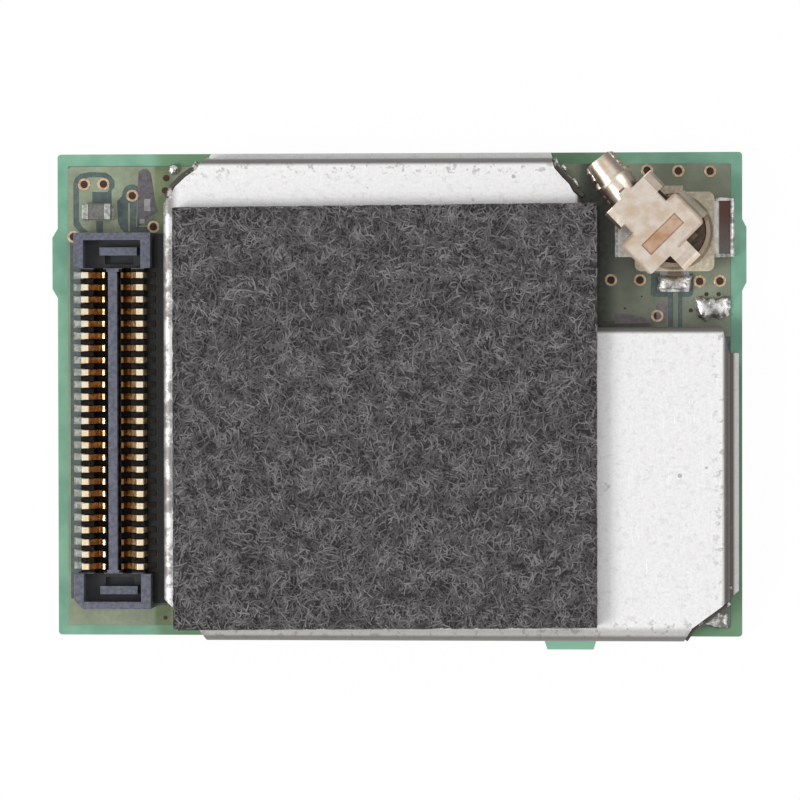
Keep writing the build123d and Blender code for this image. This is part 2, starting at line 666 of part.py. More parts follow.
# Plug shell, stamped and rolled from one sheet: the sprung ring that snaps over the socket, the
# tongue that folds up from it, the lid, the shoulder with its wings, and the crimp barrel
plug_ring_outer = plug_bore_radius + plug_ring_wall
lid_middle = lid_underside + plug_sheet / 2
with BuildPart() as plug_shell:
    with BuildSketch(ring_plane):
        Polygon(
            (plug_bore_radius, plug_ring_bottom),
            (plug_ring_outer + plug_ring_flare, plug_ring_bottom),
            (plug_ring_outer, plug_ring_bottom + plug_ring_flare_height),
            (plug_ring_outer, plug_ring_top),
            (plug_bore_radius, plug_ring_top),
        )
    revolve(axis=Axis((socket_x, socket_y, 0), (0, 0, 1)))
    with BuildSketch(plug_level(plug_ring_bottom)):
        Rectangle(2 * plug_ring_outer, plug_ring_gap, align=(Align.MIN, Align.CENTER))
    extrude(amount=plug_ring_top - plug_ring_bottom, mode=Mode.SUBTRACT)
    with BuildSketch(plug_level(lid_underside)):
        with Locations(((lid_near + lid_far) / 2, lid_shift)):
            RectangleRounded(lid_near - lid_far, lid_width, lid_corner_radius)
        with Locations((neck_end / 2, neck_shift)):
            Rectangle(neck_end, neck_width)
        with Locations(((neck_end + shoulder_end) / 2, shoulder_shift)):
            Rectangle(shoulder_end - neck_end, shoulder_flat_width)
    extrude(amount=plug_sheet)
    for side in (-1, 1):
        with BuildSketch(plug_section(neck_end)):
            edge = shoulder_shift + side * shoulder_flat_width / 2
            Polygon(*bent_strip([(edge + side * x, lid_middle + z) for x, z in wing_line], plug_sheet))
        extrude(amount=shoulder_end - neck_end)
        with BuildSketch(plug_section(lid_far + lid_corner_radius)):
            edge = lid_shift + side * (lid_width / 2 - plug_sheet / 2)
            lean = side * (plug_ring_outer - lid_width / 2) - lid_shift
            Polygon(*bent_strip([
                (edge, lid_middle),
                (edge + lean / 3, lid_middle - skirt_bend),
                (edge + lean, plug_ring_top + skirt_gap),
            ], plug_sheet))
        extrude(amount=lid_near - lid_far - 2 * lid_corner_radius)
    with BuildSketch(plug_side(tongue_shift + tongue_width / 2)):
        ring_middle = plug_ring_outer - plug_ring_wall / 2
        tongue_path = [(lid_far + x, lid_middle + z) for x, z in tongue_line_lid]
        tongue_path += [(x - ring_middle, lid_middle + z) for x, z in tongue_line_ring]
        tongue_path += [(-ring_middle, plug_ring_top - tongue_overlap)]
        Polygon(*bent_strip(tongue_path, plug_sheet))
    extrude(amount=tongue_width)
    with BuildSketch(plug_level(lid_underside + plug_sheet)):
        with Locations((lid_recess_x, lid_shift)):
            Rectangle(lid_recess_width, lid_recess_length)
    extrude(amount=-lid_recess_depth, mode=Mode.SUBTRACT)
    with BuildSketch(barrel_plane):
        Circle(barrel_root_radius)
    extrude(amount=barrel_root_length)
    with BuildSketch(barrel_plane.offset(barrel_root_length)):
        Circle(barrel_ridge_radius)
    extrude(amount=barrel_ridge_width)
    with BuildSketch(barrel_plane.offset(barrel_root_length + barrel_ridge_width)):
        Circle(barrel_mid_radius)
    with BuildSketch(barrel_plane.offset(barrel_length)):
        Circle(barrel_end_radius)
    loft()
    with BuildSketch(plug_level(barrel_axis_height)):
        with Locations((shoulder_end, barrel_shift)):
            Rectangle(window_length, window_width)
    extrude(amount=barrel_root_radius + window_height)
    with BuildSketch(barrel_plane):
        Circle(barrel_bore_radius)
    extrude(amount=barrel_length, mode=Mode.SUBTRACT)

contact_bore = pin_radius + plug_contact_clearance

# Plug insulator: a boss round the contact, a deck over the socket and a flap folded over the strip
with BuildPart() as plug_insulator:
    with BuildSketch(plug_level(insulator_boss_bottom)):
        Circle(insulator_boss_outer)
    extrude(amount=insulator_deck_top - insulator_boss_bottom)
    with BuildSketch(plug_level(socket_shell_height + insulator_clearance)):
        Circle(plug_bore_radius - insulator_clearance)
        Rectangle(insulator_reach, insulator_deck_width, align=(Align.MIN, Align.CENTER))
    extrude(amount=insulator_deck_top - socket_shell_height - insulator_clearance)
    with BuildSketch(plug_level(insulator_deck_top)):
        with Locations((-insulator_web_back, 0)):
            Rectangle(
                insulator_web_back - contact_bore - plug_contact_wall,
                insulator_flap_width,
                align=(Align.MIN, Align.CENTER),
            )
    extrude(amount=insulator_flap_bottom - insulator_deck_top)
    with BuildSketch(plug_level(insulator_flap_bottom)):
        with Locations((-insulator_flap_back, 0)):
            Rectangle(
                insulator_flap_back + insulator_reach, insulator_flap_width, align=(Align.MIN, Align.CENTER)
            )
    extrude(amount=insulator_flap_top - insulator_flap_bottom)
    with BuildSketch(plug_level(insulator_boss_bottom)):
        Circle(insulator_boss_inner)
    extrude(amount=insulator_deck_top - insulator_boss_bottom, mode=Mode.SUBTRACT)

# Plug contact: a sprung tube over the pin and a flat strip to the cable's core
with BuildPart() as plug_contact:
    with BuildSketch(plug_level(insulator_boss_bottom)):
        Circle(contact_bore + plug_contact_wall)
        Circle(contact_bore, mode=Mode.SUBTRACT)
    extrude(amount=insulator_deck_top - insulator_boss_bottom)
    with BuildSketch(plug_level(insulator_deck_top)):
        Circle(contact_bore + plug_contact_wall)
        Rectangle(plug_strip_reach, plug_strip_width, align=(Align.MIN, Align.CENTER))
    extrude(amount=plug_contact_wall)


# Packaged chips inside the can: a body on its leads
def package_body(x, y, length, width, height):
    """Body of a packaged chip, on the leads that it stands on."""
    with BuildPart() as body:
        with BuildSketch(Plane.XY.offset(board_top + lead_height)):
            with Locations((x, y)):
                Rectangle(length, width)
        extrude(amount=height)
    return body


def package_leads(x, y, length, width, count, pitch, sides):
    """Flat leads under the edges of a packaged chip, on two or four sides, soldered to the board."""
    with BuildPart() as leads:
        with BuildSketch(Plane.XY.offset(board_top)):
            with Locations((x, y)):
                with GridLocations(length - lead_length, pitch, 2, count):
                    Rectangle(lead_length, lead_width)
                if sides == 4:
                    with GridLocations(pitch, width - lead_length, count, 2):
                        Rectangle(lead_width, lead_length)
                Rectangle(length / 2, width / 2)
        extrude(amount=lead_height)
    return leads


radio_chip = package_body(radio_x, radio_y, radio_side, radio_side, radio_height)
radio_leads = package_leads(
    radio_x, radio_y, radio_side, radio_side, radio_leads_per_side, radio_lead_pitch, 4
)
flash_memory = package_body(arm_x, memory_y, memory_length, memory_width, memory_height)
memory_leads = package_leads(
    arm_x, memory_y, memory_length, memory_width, memory_leads_per_side, memory_lead_pitch, 2
)
front_end_module = package_body(arm_x, front_end_y, front_end_side, front_end_side, front_end_height)
front_end_leads = package_leads(
    arm_x, front_end_y, front_end_side, front_end_side,
    front_end_leads_per_side, front_end_lead_pitch, 4,
)
voltage_regulator = package_body(regulator_x, power_row_y, regulator_side, regulator_side, regulator_height)
regulator_leads = package_leads(
    regulator_x, power_row_y, regulator_side, regulator_side,
    regulator_leads_per_side, regulator_lead_pitch, 2,
)

# Crystal: a ceramic base with a seam-welded metal lid
crystal_seat = board_top + lead_height
with BuildPart() as crystal_base:
    with BuildSketch(Plane.XY.offset(crystal_seat)):
        with Locations((crystal_x, power_row_y)):
            Rectangle(crystal_length, crystal_width)
    extrude(amount=crystal_base_height)

with BuildPart() as crystal_lid:
    with BuildSketch(Plane.XY.offset(crystal_seat + crystal_base_height)):
        with Locations((crystal_x, power_row_y)):
            RectangleRounded(
                crystal_length - 2 * crystal_lid_margin,
                crystal_width - 2 * crystal_lid_margin,
                crystal_lid_corner,
            )
    extrude(amount=crystal_lid_height)

with BuildPart() as crystal_lands:
    with BuildSketch(Plane.XY.offset(board_top)):
        with Locations((crystal_x, power_row_y)):
            with GridLocations(
                crystal_length - crystal_land_length - 2 * crystal_land_inset,
                crystal_width - crystal_land_width - 2 * crystal_land_inset,
                2, 2,
            ):
                Rectangle(crystal_land_length, crystal_land_width)
    extrude(amount=lead_height)

# Filter, inductor and the small chips inside the can
filter_sizes = (filter_length, filter_width, filter_height, filter_end_length)
ceramic_filter = chip_bodies([(arm_x, filter_y)], *filter_sizes)
filter_ends = chip_ends([(arm_x, filter_y)], *filter_sizes)
inductor_sizes = (inductor_length, inductor_width, inductor_height, inductor_end_length)
power_inductor = chip_bodies([(inductor_x, power_row_y)], *inductor_sizes)
inductor_ends = chip_ends([(inductor_x, power_row_y)], *inductor_sizes)
small_capacitor_sizes = (small_chip_length, small_chip_width, small_capacitor_height, small_end_length)
small_capacitors = chip_bodies(small_capacitor_places, *small_capacitor_sizes)
small_capacitor_ends = chip_ends(small_capacitor_places, *small_capacitor_sizes)
small_resistor_sizes = (small_chip_length, small_chip_width, small_resistor_height, small_end_length)
small_resistors = chip_bodies(small_resistor_places, *small_resistor_sizes)
small_resistor_ends = chip_ends(small_resistor_places, *small_resistor_sizes)

# Bare lands on the board under the two-ended chips inside the can
land_groups = (
    (small_capacitor_places + small_resistor_places, small_chip_length, small_chip_width, small_end_length),
    ([(arm_x, filter_y)], filter_length, filter_width, filter_end_length),
    ([(inductor_x, power_row_y)], inductor_length, inductor_width, inductor_end_length),
)
with BuildPart() as inner_lands:
    with BuildSketch(Plane.XY.offset(board_top)):
        for places, length, width, end in land_groups:
            for x, y in places:
                with Locations((x, y)):
                    with GridLocations(length - end, width, 2, 1):
                        Rectangle(end + 2 * land_margin, width)
    extrude(amount=land_thickness)

finished_parts = {
    "circuit_board": circuit_board,
    "via_rings": via_rings,
    "solder_lands": solder_lands,
    "shield_can": shield_can,
    "shield_solder": shield_solder,
    "felt_pad": felt_pad,
    "pad_adhesive": pad_adhesive,
    "connector_housing": connector_housing,
    "connector_anchors": connector_anchors,
    "contacts_left": contacts_left,
    "contacts_right": contacts_right,
    "chip_capacitor": chip_capacitor,
    "capacitor_ends": capacitor_ends,
    "socket_base": socket_base,
    "socket_shell": socket_shell,
    "socket_pin": socket_pin,
    "socket_solder": socket_solder,
    "plug_shell": plug_shell,
    "plug_insulator": plug_insulator,
    "plug_contact": plug_contact,
    "radio_chip": radio_chip,
    "radio_leads": radio_leads,
    "flash_memory": flash_memory,
    "memory_leads": memory_leads,
    "front_end_module": front_end_module,
    "front_end_leads": front_end_leads,
    "voltage_regulator": voltage_regulator,
    "regulator_leads": regulator_leads,
    "crystal_base": crystal_base,
    "crystal_lid": crystal_lid,
    "crystal_lands": crystal_lands,
    "ceramic_filter": ceramic_filter,
    "filter_ends": filter_ends,
    "power_inductor": power_inductor,
    "inductor_ends": inductor_ends,
    "small_capacitors": small_capacitors,
    "small_capacitor_ends": small_capacitor_ends,
    "small_resistors": small_resistors,
    "small_resistor_ends": small_resistor_ends,
    "inner_lands": inner_lands,
}
for name, piece in finished_parts.items():
    piece.part.label = name
    export_step(piece.part, f"parts/{name}.step")
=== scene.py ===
import math
import random

import bpy
from mathutils import Matrix, Vector, geometry


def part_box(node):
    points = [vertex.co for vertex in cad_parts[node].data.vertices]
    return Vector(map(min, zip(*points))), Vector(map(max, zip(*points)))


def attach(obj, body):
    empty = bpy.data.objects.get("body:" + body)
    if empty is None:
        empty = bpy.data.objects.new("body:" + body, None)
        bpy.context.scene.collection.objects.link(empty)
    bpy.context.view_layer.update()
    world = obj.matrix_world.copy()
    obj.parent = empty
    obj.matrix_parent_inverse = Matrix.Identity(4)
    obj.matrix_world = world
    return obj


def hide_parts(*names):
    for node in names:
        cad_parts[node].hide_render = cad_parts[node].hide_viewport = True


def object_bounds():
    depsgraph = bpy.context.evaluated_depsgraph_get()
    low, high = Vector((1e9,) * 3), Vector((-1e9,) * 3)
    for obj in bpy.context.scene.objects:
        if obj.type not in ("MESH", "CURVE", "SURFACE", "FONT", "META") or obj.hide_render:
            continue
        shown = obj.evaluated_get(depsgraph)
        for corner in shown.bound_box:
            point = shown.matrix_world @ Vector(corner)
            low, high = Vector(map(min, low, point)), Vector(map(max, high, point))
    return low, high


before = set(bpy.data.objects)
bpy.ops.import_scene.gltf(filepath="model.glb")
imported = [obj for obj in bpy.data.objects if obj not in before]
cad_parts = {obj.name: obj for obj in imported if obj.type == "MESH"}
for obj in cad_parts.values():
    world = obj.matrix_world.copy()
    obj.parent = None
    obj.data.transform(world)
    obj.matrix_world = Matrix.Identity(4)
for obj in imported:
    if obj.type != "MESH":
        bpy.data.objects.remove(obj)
cad_low, cad_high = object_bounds()

# Circuit board. A glass-cloth laminate with a green solder mask, routed from a panel and snapped
# off at its tabs. Under the mask the copper areas look olive and the gaps between them look slate.
mm = 0.001


class Tone:
    """A value that varies over a finish: sums and products of tones add their Math nodes."""

    def __init__(self, tree, socket=None):
        self.tree, self.socket = tree, socket

    def node(self, kind, settings=None, inputs=None, output=0):
        """Adds a node: its settings first, then the values or tones of its inputs."""
        made = self.tree.nodes.new(kind)
        for name, value in (settings or {}).items():
            setattr(made, name, value)
        for name, value in (inputs or {}).items():
            if isinstance(value, Tone):
                self.tree.links.new(value.socket, made.inputs[name])
            else:
                made.inputs[name].default_value = value
        return Tone(self.tree, made.outputs[output])

    def maths(self, operation, *values):
        return self.node("ShaderNodeMath", {"operation": operation}, dict(enumerate(values)))

    def __add__(self, other):
        return self.maths("ADD", self, other)

    def __mul__(self, other):
        return self.maths("MULTIPLY", self, other)

    def __sub__(self, other):
        return self.maths("SUBTRACT", self, other)

    def __rsub__(self, other):
        return self.maths("SUBTRACT", other, self)

    def __gt__(self, other):
        return self.maths("GREATER_THAN", self, other)

    def __lt__(self, other):
        return self.maths("LESS_THAN", self, other)

    __radd__ = __add__
    __rmul__ = __mul__

    def spread(self, low, high, new_low=0.0, new_high=1.0):
        """The tone stretched from one range to another, and clamped."""
        return self.node(
            "ShaderNodeMapRange", {"clamp": True, "interpolation_type": "SMOOTHSTEP"},
            {"Value": self, "From Min": low, "From Max": high, "To Min": new_low, "To Max": new_high},
        )

    def blend(self, first, second):
        """First colour where the tone is 0, second where it is 1."""
        return self.node(
            "ShaderNodeMix", {"data_type": "RGBA"}, {0: self, 6: first, 7: second}, output=2
        )

    def between(self, dark, light, low=0.3, high=0.7):
        """A colour that wanders between two paint codes as the tone wanders between two values."""
        return self.spread(low, high).blend(rgb(dark), rgb(light))

    def most(self, other):
        """The greater of two tones."""
        return self.maths("MAXIMUM", self, other)

    def least(self, other):
        """The smaller of two tones."""
        return self.maths("MINIMUM", self, other)

    def distance(self, value):
        """How far the tone is from a value, on either side of it."""
        return self.maths("ABSOLUTE", self - value)

    def grains(self, scale, stretch=(1, 1, 1)):
        """Place over the piece, counted in grains, scale in grains per millimetre."""
        place = self.node("ShaderNodeTexCoord", output="Object")
        return self.node(
            "ShaderNodeMapping", {}, {"Vector": place, "Scale": [scale / mm * s for s in stretch]}
        )

    def noise(self, scale, detail=2.0, roughness=0.5, stretch=(1, 1, 1)):
        """Noise over the piece, scale in grains per millimetre."""
        return self.node(
            "ShaderNodeTexNoise", {},
            {"Vector": self.grains(scale, stretch), "Scale": 1.0, "Detail": detail,
             "Roughness": roughness},
        )

    def cells(self, scale):
        """Distance from scattered points, scale in points per millimetre."""
        return self.node("ShaderNodeTexVoronoi", {}, {"Vector": self.grains(scale), "Scale": 1.0})

    def bump(self, height, strength=0.3):
        """Surface relief from a height in millimetres."""
        return self.node(
            "ShaderNodeBump", {}, {"Strength": strength, "Distance": mm, "Height": height}
        )

    def axes(self):
        """The three parts of a vector, each as a tone."""
        split = self.node("ShaderNodeSeparateXYZ", {}, {0: self})
        return [Tone(self.tree, split.socket.node.outputs[i]) for i in range(3)]

    def place(self):
        """Position over the piece in millimetres, as three tones."""
        spot = self.node("ShaderNodeTexCoord", output="Object")
        return [axis * (1 / mm) for axis in spot.axes()]

    def lean(self):
        """The way that the surface faces, as three tones: 0, 0 and 1 where it is flat and level."""
        return self.node("ShaderNodeNewGeometry", output="Normal").axes()


def finish(name, **sockets):
    """A new finish and its starting tone, with constants set on the shader's own sockets."""
    material = bpy.data.materials.new(name)
    material.use_nodes = True
    shader = material.node_tree.nodes["Principled BSDF"]
    for socket, value in sockets.items():
        shader.inputs[socket.replace("_", " ").title()].default_value = value
    return material, Tone(material.node_tree)


def feed(material, socket, tone):
    """Links a tone to one of the shader's sockets."""
    shader = material.node_tree.nodes["Principled BSDF"]
    material.node_tree.links.new(tone.socket, shader.inputs[socket])


def rgb(code):
    """Linear colour from a paint code, two hexadecimal digits each for red, green and blue."""
    parts = [int(code[i:i + 2], 16) / 255 for i in (0, 2, 4)]
    return (*[c / 12.92 if c <= 0.04045 else ((c + 0.055) / 1.055) ** 2.4 for c in parts], 1.0)


def dress(node, material):
    """Gives a CAD node its finish."""
    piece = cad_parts[node]
    piece.data.materials.clear()
    piece.data.materials.append(material)


def round_edges(node, width, segments=2):
    """Breaks the sharp edges of a CAD node by a small width in millimetres."""
    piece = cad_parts[node]
    weld = piece.modifiers.new("weld", "WELD")
    weld.merge_threshold = 0.0005 * mm
    bevel = piece.modifiers.new("edges", "BEVEL")
    bevel.width = width * mm
    bevel.segments = segments
    bevel.limit_method = "ANGLE"
    bevel.angle_limit = math.radians(35)
    bevel.harden_normals = True


def soften(piece, width):
    """Rounds the edges of a new piece by a small width in millimetres."""
    bevel = piece.modifiers.new("edges", "BEVEL")
    bevel.width = width * mm
    bevel.segments = 2


def edges(node):
    """Left, bottom, right and top edge of a CAD node, in millimetres."""
    low, high = (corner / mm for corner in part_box(node))
    return low.x, low.y, high.x, high.y


def solid(name, verts, faces, material, body):
    """A new piece from points in millimetres, riding on its body."""
    mesh = bpy.data.meshes.new(name)
    mesh.from_pydata([[c * mm for c in v] for v in verts], [], faces)
    mesh.validate()
    piece = bpy.data.objects.new(name, mesh)
    bpy.context.scene.collection.objects.link(piece)
    piece.data.materials.append(material)
    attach(piece, body)
    return piece


def sheet_metal(name, outline, low, high, material, body, holes=()):
    """A flat piece with a given outline and holes, between two heights."""
    loops = [[Vector((x, y, 0)) for x, y in loop] for loop in (outline, *holes)]
    points = [p for loop in loops for p in loop]
    count = len(points)
    faces = []
    for tri in geometry.tessellate_polygon(loops):
        a, b, c = (points[i] for i in tri)
        if (b - a).cross(c - a).z < 0:
            tri = tri[::-1]
        faces.append([i + count for i in tri])
        faces.append(list(tri[::-1]))
    first = 0
    for number, loop in enumerate(loops):
        area = sum(a.x * b.y - b.x * a.y for a, b in zip(loop, loop[1:] + loop[:1]))
        forward = (area > 0) == (number == 0)
        for i in range(len(loop)):
            a, b = first + i, first + (i + 1) % len(loop)
            quad = [a, b, b + count, a + count]
            faces.append(quad if forward else quad[::-1])
        first += len(loop)
    verts = [(p.x, p.y, low) for p in points] + [(p.x, p.y, high) for p in points]
    return solid(name, verts, faces, material, body)


def mask_patch(name, outline, low, high, material, holes=()):
    """A thin flat patch on the board, in or under its solder mask."""
    return sheet_metal(name, outline, low, high, material, "board", holes)


board_top = (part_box("circuit_board")[1] / mm).z
mask_left, mask_bottom, mask_right, mask_top = -10.95, -7.62, 10.93, 7.56
can_left = edges("shield_can")[0]
notch_x, notch_y = 6.11, 2.22
pad_right = edges("felt_pad")[2]
housing_left, housing_bottom, housing_right, housing_top = edges("connector_housing")

mask, start = finish("board_mask", coat_weight=0.5, coat_roughness=0.12)
x, y, z = start.place()
# The rim has no copper under the mask and looks bright green. The gaps etched in the copper look slate.
inside = (x - mask_left).least(mask_right - x).least((y - mask_bottom).least(mask_top - y))
fine, broad = start.noise(6.0, 4, 0.6), start.noise(1.1, 3)
green = broad.between("6A9F86", "80B297")
# Along the can the rim is more olive, and the stub on the front edge is paler.
can_side = x.spread(can_left - 0.65, can_left - 0.05)
can_side *= x.spread(notch_x + 2.39, notch_x + 0.39).most(y.spread(notch_y - 1.02, notch_y - 1.62))
green = (can_side * 0.6).blend(green, rgb("5C7A48"))
stub = y.spread(-7.93, -8.0)
green = stub.blend(green, rgb("8CC4A8"))
slate = fine.between("465552", "5A6B69")
board_colour = inside.spread(-0.03, 0.03).blend(green, slate)
# Painted shade: the narrow trench between the connector and the can is painted dark, and so is the board
# beside the thick pad, for the shadow that falls there.
trench_shade = (x > housing_right - 0.3) * (x < can_left + 0.05)
trench_shade *= (y < housing_top - 0.02) * (y > housing_bottom + 0.14)
board_colour = trench_shade.blend(board_colour, rgb("1C1D19"))
pad_shade = x.spread(pad_right + 0.76, pad_right + 0.16) * (y > notch_y - 0.22)
pad_shade *= (x > notch_x - 0.11) * (y < mask_top + 0.02)
board_colour = (pad_shade * 0.9).blend(board_colour, rgb("1E2119"))
# The cut side of the board shows its layers of glass cloth.
laminate = start.noise(9.0, 3, stretch=(1, 1, 0.25)).blend(rgb("93AA86"), rgb("B9C6A4"))
side = (start.lean()[2] < 0.5) * (z > 0.05) * (z < board_top - 0.03)
feed(mask, "Base Color", side.blend(board_colour, laminate))
feed(mask, "Roughness", side.spread(0, 1, 0.42, 0.8))
feed(mask, "Normal", start.bump(fine * 0.006 + side * start.noise(20.0, 3) * 0.03, 0.5))
dress("circuit_board", mask)
round_edges("circuit_board", 0.03)

# Copper areas under the solder mask. Rolled copper foil, etched to these outlines and covered by
# the mask, so each stands a little proud of the slate-coloured gaps etched round it.
pour, start = finish("masked_copper", coat_weight=0.5, coat_roughness=0.12)
x, y = start.place()[:2]
broad, fine = start.noise(0.9, 3), start.noise(5.0, 5, 0.6)
# The copper areas look olive, and darker in the shade of the pad and of the can's walls.
pour_colour = (x > 0).blend(broad.between("858F76", "9AA488"), broad.between("7C8470", "98A08A"))
pad_shade = x.spread(pad_right + 0.76, pad_right + 0.16) * (y > notch_y - 0.22)
pad_shade *= x.spread(notch_x - 0.41, notch_x + 0.29)
pour_colour = (pad_shade * 0.95).blend(pour_colour, rgb("171A12"))
socket_side = x > notch_x - 0.11
pour_colour = (socket_side * 0.22).blend(pour_colour, rgb("20261C"))
corner_shade = (x - y * 0.967).spread(-14.05, -13.72) * (x < 0) * (y > 5.6)
pour_colour = (corner_shade * 0.75).blend(pour_colour, rgb("3A3B31"))
wall_shade = y.spread(notch_y + 0.33, notch_y + 0.1) * x.spread(8.6, 8.1) * (x > 0) * (y > 0)
pour_colour = (wall_shade * 0.85).blend(pour_colour, rgb("1E1B16"))
near_can = x.spread(can_left - 0.5, can_left - 0.35) * x.spread(can_left + 0.25, can_left + 0.05)
pour_colour = near_can.blend(pour_colour, broad.between("5D6E45", "7C8A62", 0.35, 0.65))
feed(pour, "Base Color", fine.spread(0.25, 0.75, 0.0, 0.35).blend(pour_colour, rgb("666E5C")))
feed(pour, "Roughness", fine.spread(0, 1, 0.34, 0.5))
feed(pour, "Normal", start.bump(fine * 0.006, 0.5))
pour_top = board_top + 0.012
left_pour = [
    (-10.95, 7.45), (-10.86, 7.54), (-6.0, 7.54), (-6.0, 5.34), (-8.42, 5.34), (-8.42, -6.95), (-6.9, -6.95),
    (-6.9, -7.62), (-10.97, -7.62),
]
capacitor_gap = [
    (-10.56, 5.36), (-10.77, 5.62), (-10.77, 7.01), (-10.70, 7.18), (-10.55, 7.31), (-10.22, 7.37),
    (-9.69, 7.35), (-9.52, 7.24), (-9.4, 7.07), (-9.4, 6.87), (-9.5, 6.74), (-9.5, 6.33), (-10.14, 6.33),
    (-10.14, 6.71), (-9.64, 6.71), (-9.57, 6.82), (-9.6, 7.05), (-9.75, 7.19), (-10.22, 7.2),
    (-10.45, 7.13), (-10.59, 6.94), (-10.59, 5.75), (-10.49, 5.56), (-10.29, 5.40),
]
short_gap = [(-10.01, 5.36), (-10.01, 5.76), (-9.79, 5.76), (-9.79, 5.36)]
via_gap = [
    (-9.32, 6.40), (-9.15, 6.57), (-9.12, 6.74), (-9.04, 6.88), (-8.9, 6.95), (-8.74, 6.95), (-8.62, 6.88),
    (-8.69, 5.55), (-8.24, 5.55), (-8.24, 5.37), (-9.08, 5.37), (-9.19, 5.48), (-9.29, 5.71),
]
contact_gap = [(-10.88, 5.0), (-10.84, 5.15), (-10.55, 5.15), (-10.5, 5.0), (-10.5, -6.75), (-10.88, -6.75)]
left_gaps = [capacitor_gap, short_gap, via_gap, contact_gap]
left_line = [(-8.95, 5.40), (-8.89, 5.40), (-8.89, 6.34), (-8.95, 6.34)]
mask_patch("copper_left", left_pour, board_top, pour_top, pour, left_gaps)
mask_patch("copper_left_line", left_line, board_top, pour_top, pour)
right_pour = [(5.0, 7.58), (10.86, 7.58), (10.92, 7.5), (10.92, 1.9), (5.0, 1.9)]
signal_gap = [
    (8.32, 3.98), (8.30, 3.3), (8.40, 3.2), (8.87, 3.2), (8.87, 2.1), (9.34, 2.1), (9.34, 3.2), (9.6, 3.2),
    (9.7, 3.3), (9.70, 3.98),
]
corner_pour = [(9.5, -7.6), (10.9, -7.6), (10.9, -6.1), (9.5, -6.1)]
signal_line = [(9.04, 2.1), (9.2, 2.1), (9.2, 3.45), (9.04, 3.45)]
mask_patch("copper_right", right_pour, board_top, pour_top, pour, [signal_gap])
mask_patch("copper_corner", corner_pour, board_top, pour_top, pour)
mask_patch("copper_signal_line", signal_line, board_top, pour_top, pour)

# Printed marks and tented vias. Screened ink laid over the mask in flat patches, and holes that the
# mask has filled, which show as dark spots.
ink, start = finish("screened_ink")
grain = start.noise(7.0, 4, 0.6)
feed(ink, "Base Color", grain.between("504C50", "6B676B"))
feed(ink, "Roughness", grain.spread(0, 1, 0.5, 0.7))
feed(ink, "Normal", start.bump(grain * 0.008, 0.5))
pale_ink, start = finish("worn_ink")
feed(pale_ink, "Base Color", start.noise(7.0, 4).between("87858A", "A3A19E"))
feed(pale_ink, "Roughness", start.noise(9.0, 3).spread(0, 1, 0.45, 0.65))
faint_ink, start = finish("faint_ink")
feed(faint_ink, "Base Color", start.noise(5.0, 4).between("6C646A", "857D7F"))
feed(faint_ink, "Roughness", start.noise(9.0, 3).spread(0, 1, 0.45, 0.65))
ink_top = pour_top + 0.008
mark_left = [
    (-8.62, 6.95), (-8.6, 7.38), (-8.45, 7.46), (-8.32, 7.46), (-8.2, 7.33), (-8.15, 7.07), (-8.06, 6.44),
    (-7.97, 6.04), (-8.22, 5.88), (-8.42, 5.68), (-8.66, 5.53),
]
worn_mark = [(-8.42, 6.08), (-8.21, 6.07), (-8.21, 6.47), (-8.42, 6.47)]
worn_mark_end = [(-8.57, 5.65), (-8.41, 5.67), (-8.39, 5.81), (-8.57, 5.81)]
mark_signal = [(8.50, 2.34), (8.80, 2.34), (8.84, 2.5), (8.85, 2.95), (8.78, 3.06), (8.58, 3.06), (8.49, 2.9)]
mark_notch = [(7.13, 2.32), (8.31, 2.36), (8.29, 2.48), (7.95, 2.56), (7.6, 2.64), (7.13, 2.66)]
mask_patch("mark_left", mark_left, pour_top, ink_top, ink)
mask_patch("worn_mark", worn_mark, ink_top, ink_top + 0.006, pale_ink)
mask_patch("worn_mark_end", worn_mark_end, ink_top, ink_top + 0.006, pale_ink)
mask_patch("mark_signal", mark_signal, pour_top, ink_top, faint_ink)
mask_patch("mark_notch", mark_notch, pour_top, ink_top, faint_ink)
# Dark resin for the tented vias, also used as painted shade inside the drilled holes of the vias.
resin_and_hole_shade, start = finish("dark_resin_and_hole_shade")
feed(resin_and_hole_shade, "Base Color", start.noise(14.0, 3).between("2A1407", "48260F"))
feed(resin_and_hole_shade, "Roughness", start.noise(14.0, 2).spread(0, 1, 0.35, 0.6))


def round_line(x, y, radius, sides):
    """Points of a circle."""
    turns = [math.tau * i / sides for i in range(sides)]
    return [(x + radius * math.cos(a), y + radius * math.sin(a)) for a in turns]


tented = [
    (-7.68, 7.16, 0.11), (-7.72, 6.75, 0.11), (10.13, 3.29, 0.07), (10.53, 3.29, 0.07), (9.62, 2.76, 0.07),
    (-7.74, -7.38, 0.07), (8.01, 3.22, 0.03), (7.46, 2.83, 0.035),
]
for number, (x, y, radius) in enumerate(tented):
    spot = round_line(x, y, radius, 16)
    mask_patch(f"tented_via_{number + 1}", spot, pour_top, pour_top + 0.006, resin_and_hole_shade)

# Via rings and lands. Copper is plated through each drilled hole and left clear of the mask as a bare round
# land, and dark plugs fill the holes, painted the dark brown of the shade down in each hole. The lands of the
# parts are tinned.
ring_copper, start = finish("bare_land", metallic=0.85)
feed(ring_copper, "Base Color", start.noise(9.0, 2).between("C2A282", "E8D2B4"))
feed(ring_copper, "Roughness", start.noise(12.0, 2).spread(0, 1, 0.3, 0.5))
dress("via_rings", ring_copper)
round_edges("via_rings", 0.012, 1)
drilled = [
    (-10.41, 6.96), (-9.77, 6.97), (-8.81, 6.58), (-8.11, 5.55), (-10.77, 5.23), (8.19, 7.35), (9.21, 7.33),
    (10.25, 7.32), (7.0, 3.76), (7.95, 3.76), (9.91, 3.71), (10.57, 3.72), (8.52, 2.58),
]
plug_radius, plug_foot = 0.124, 0.01
for number, (x, y) in enumerate(drilled):
    core = round_line(x, y, plug_radius, 12)
    mask_patch(f"via_fill_{number + 1}", core, plug_foot, pour_top + 0.004, resin_and_hole_shade)
land_tin, start = finish("tinned_lands", metallic=0.8)
x = start.place()[0]
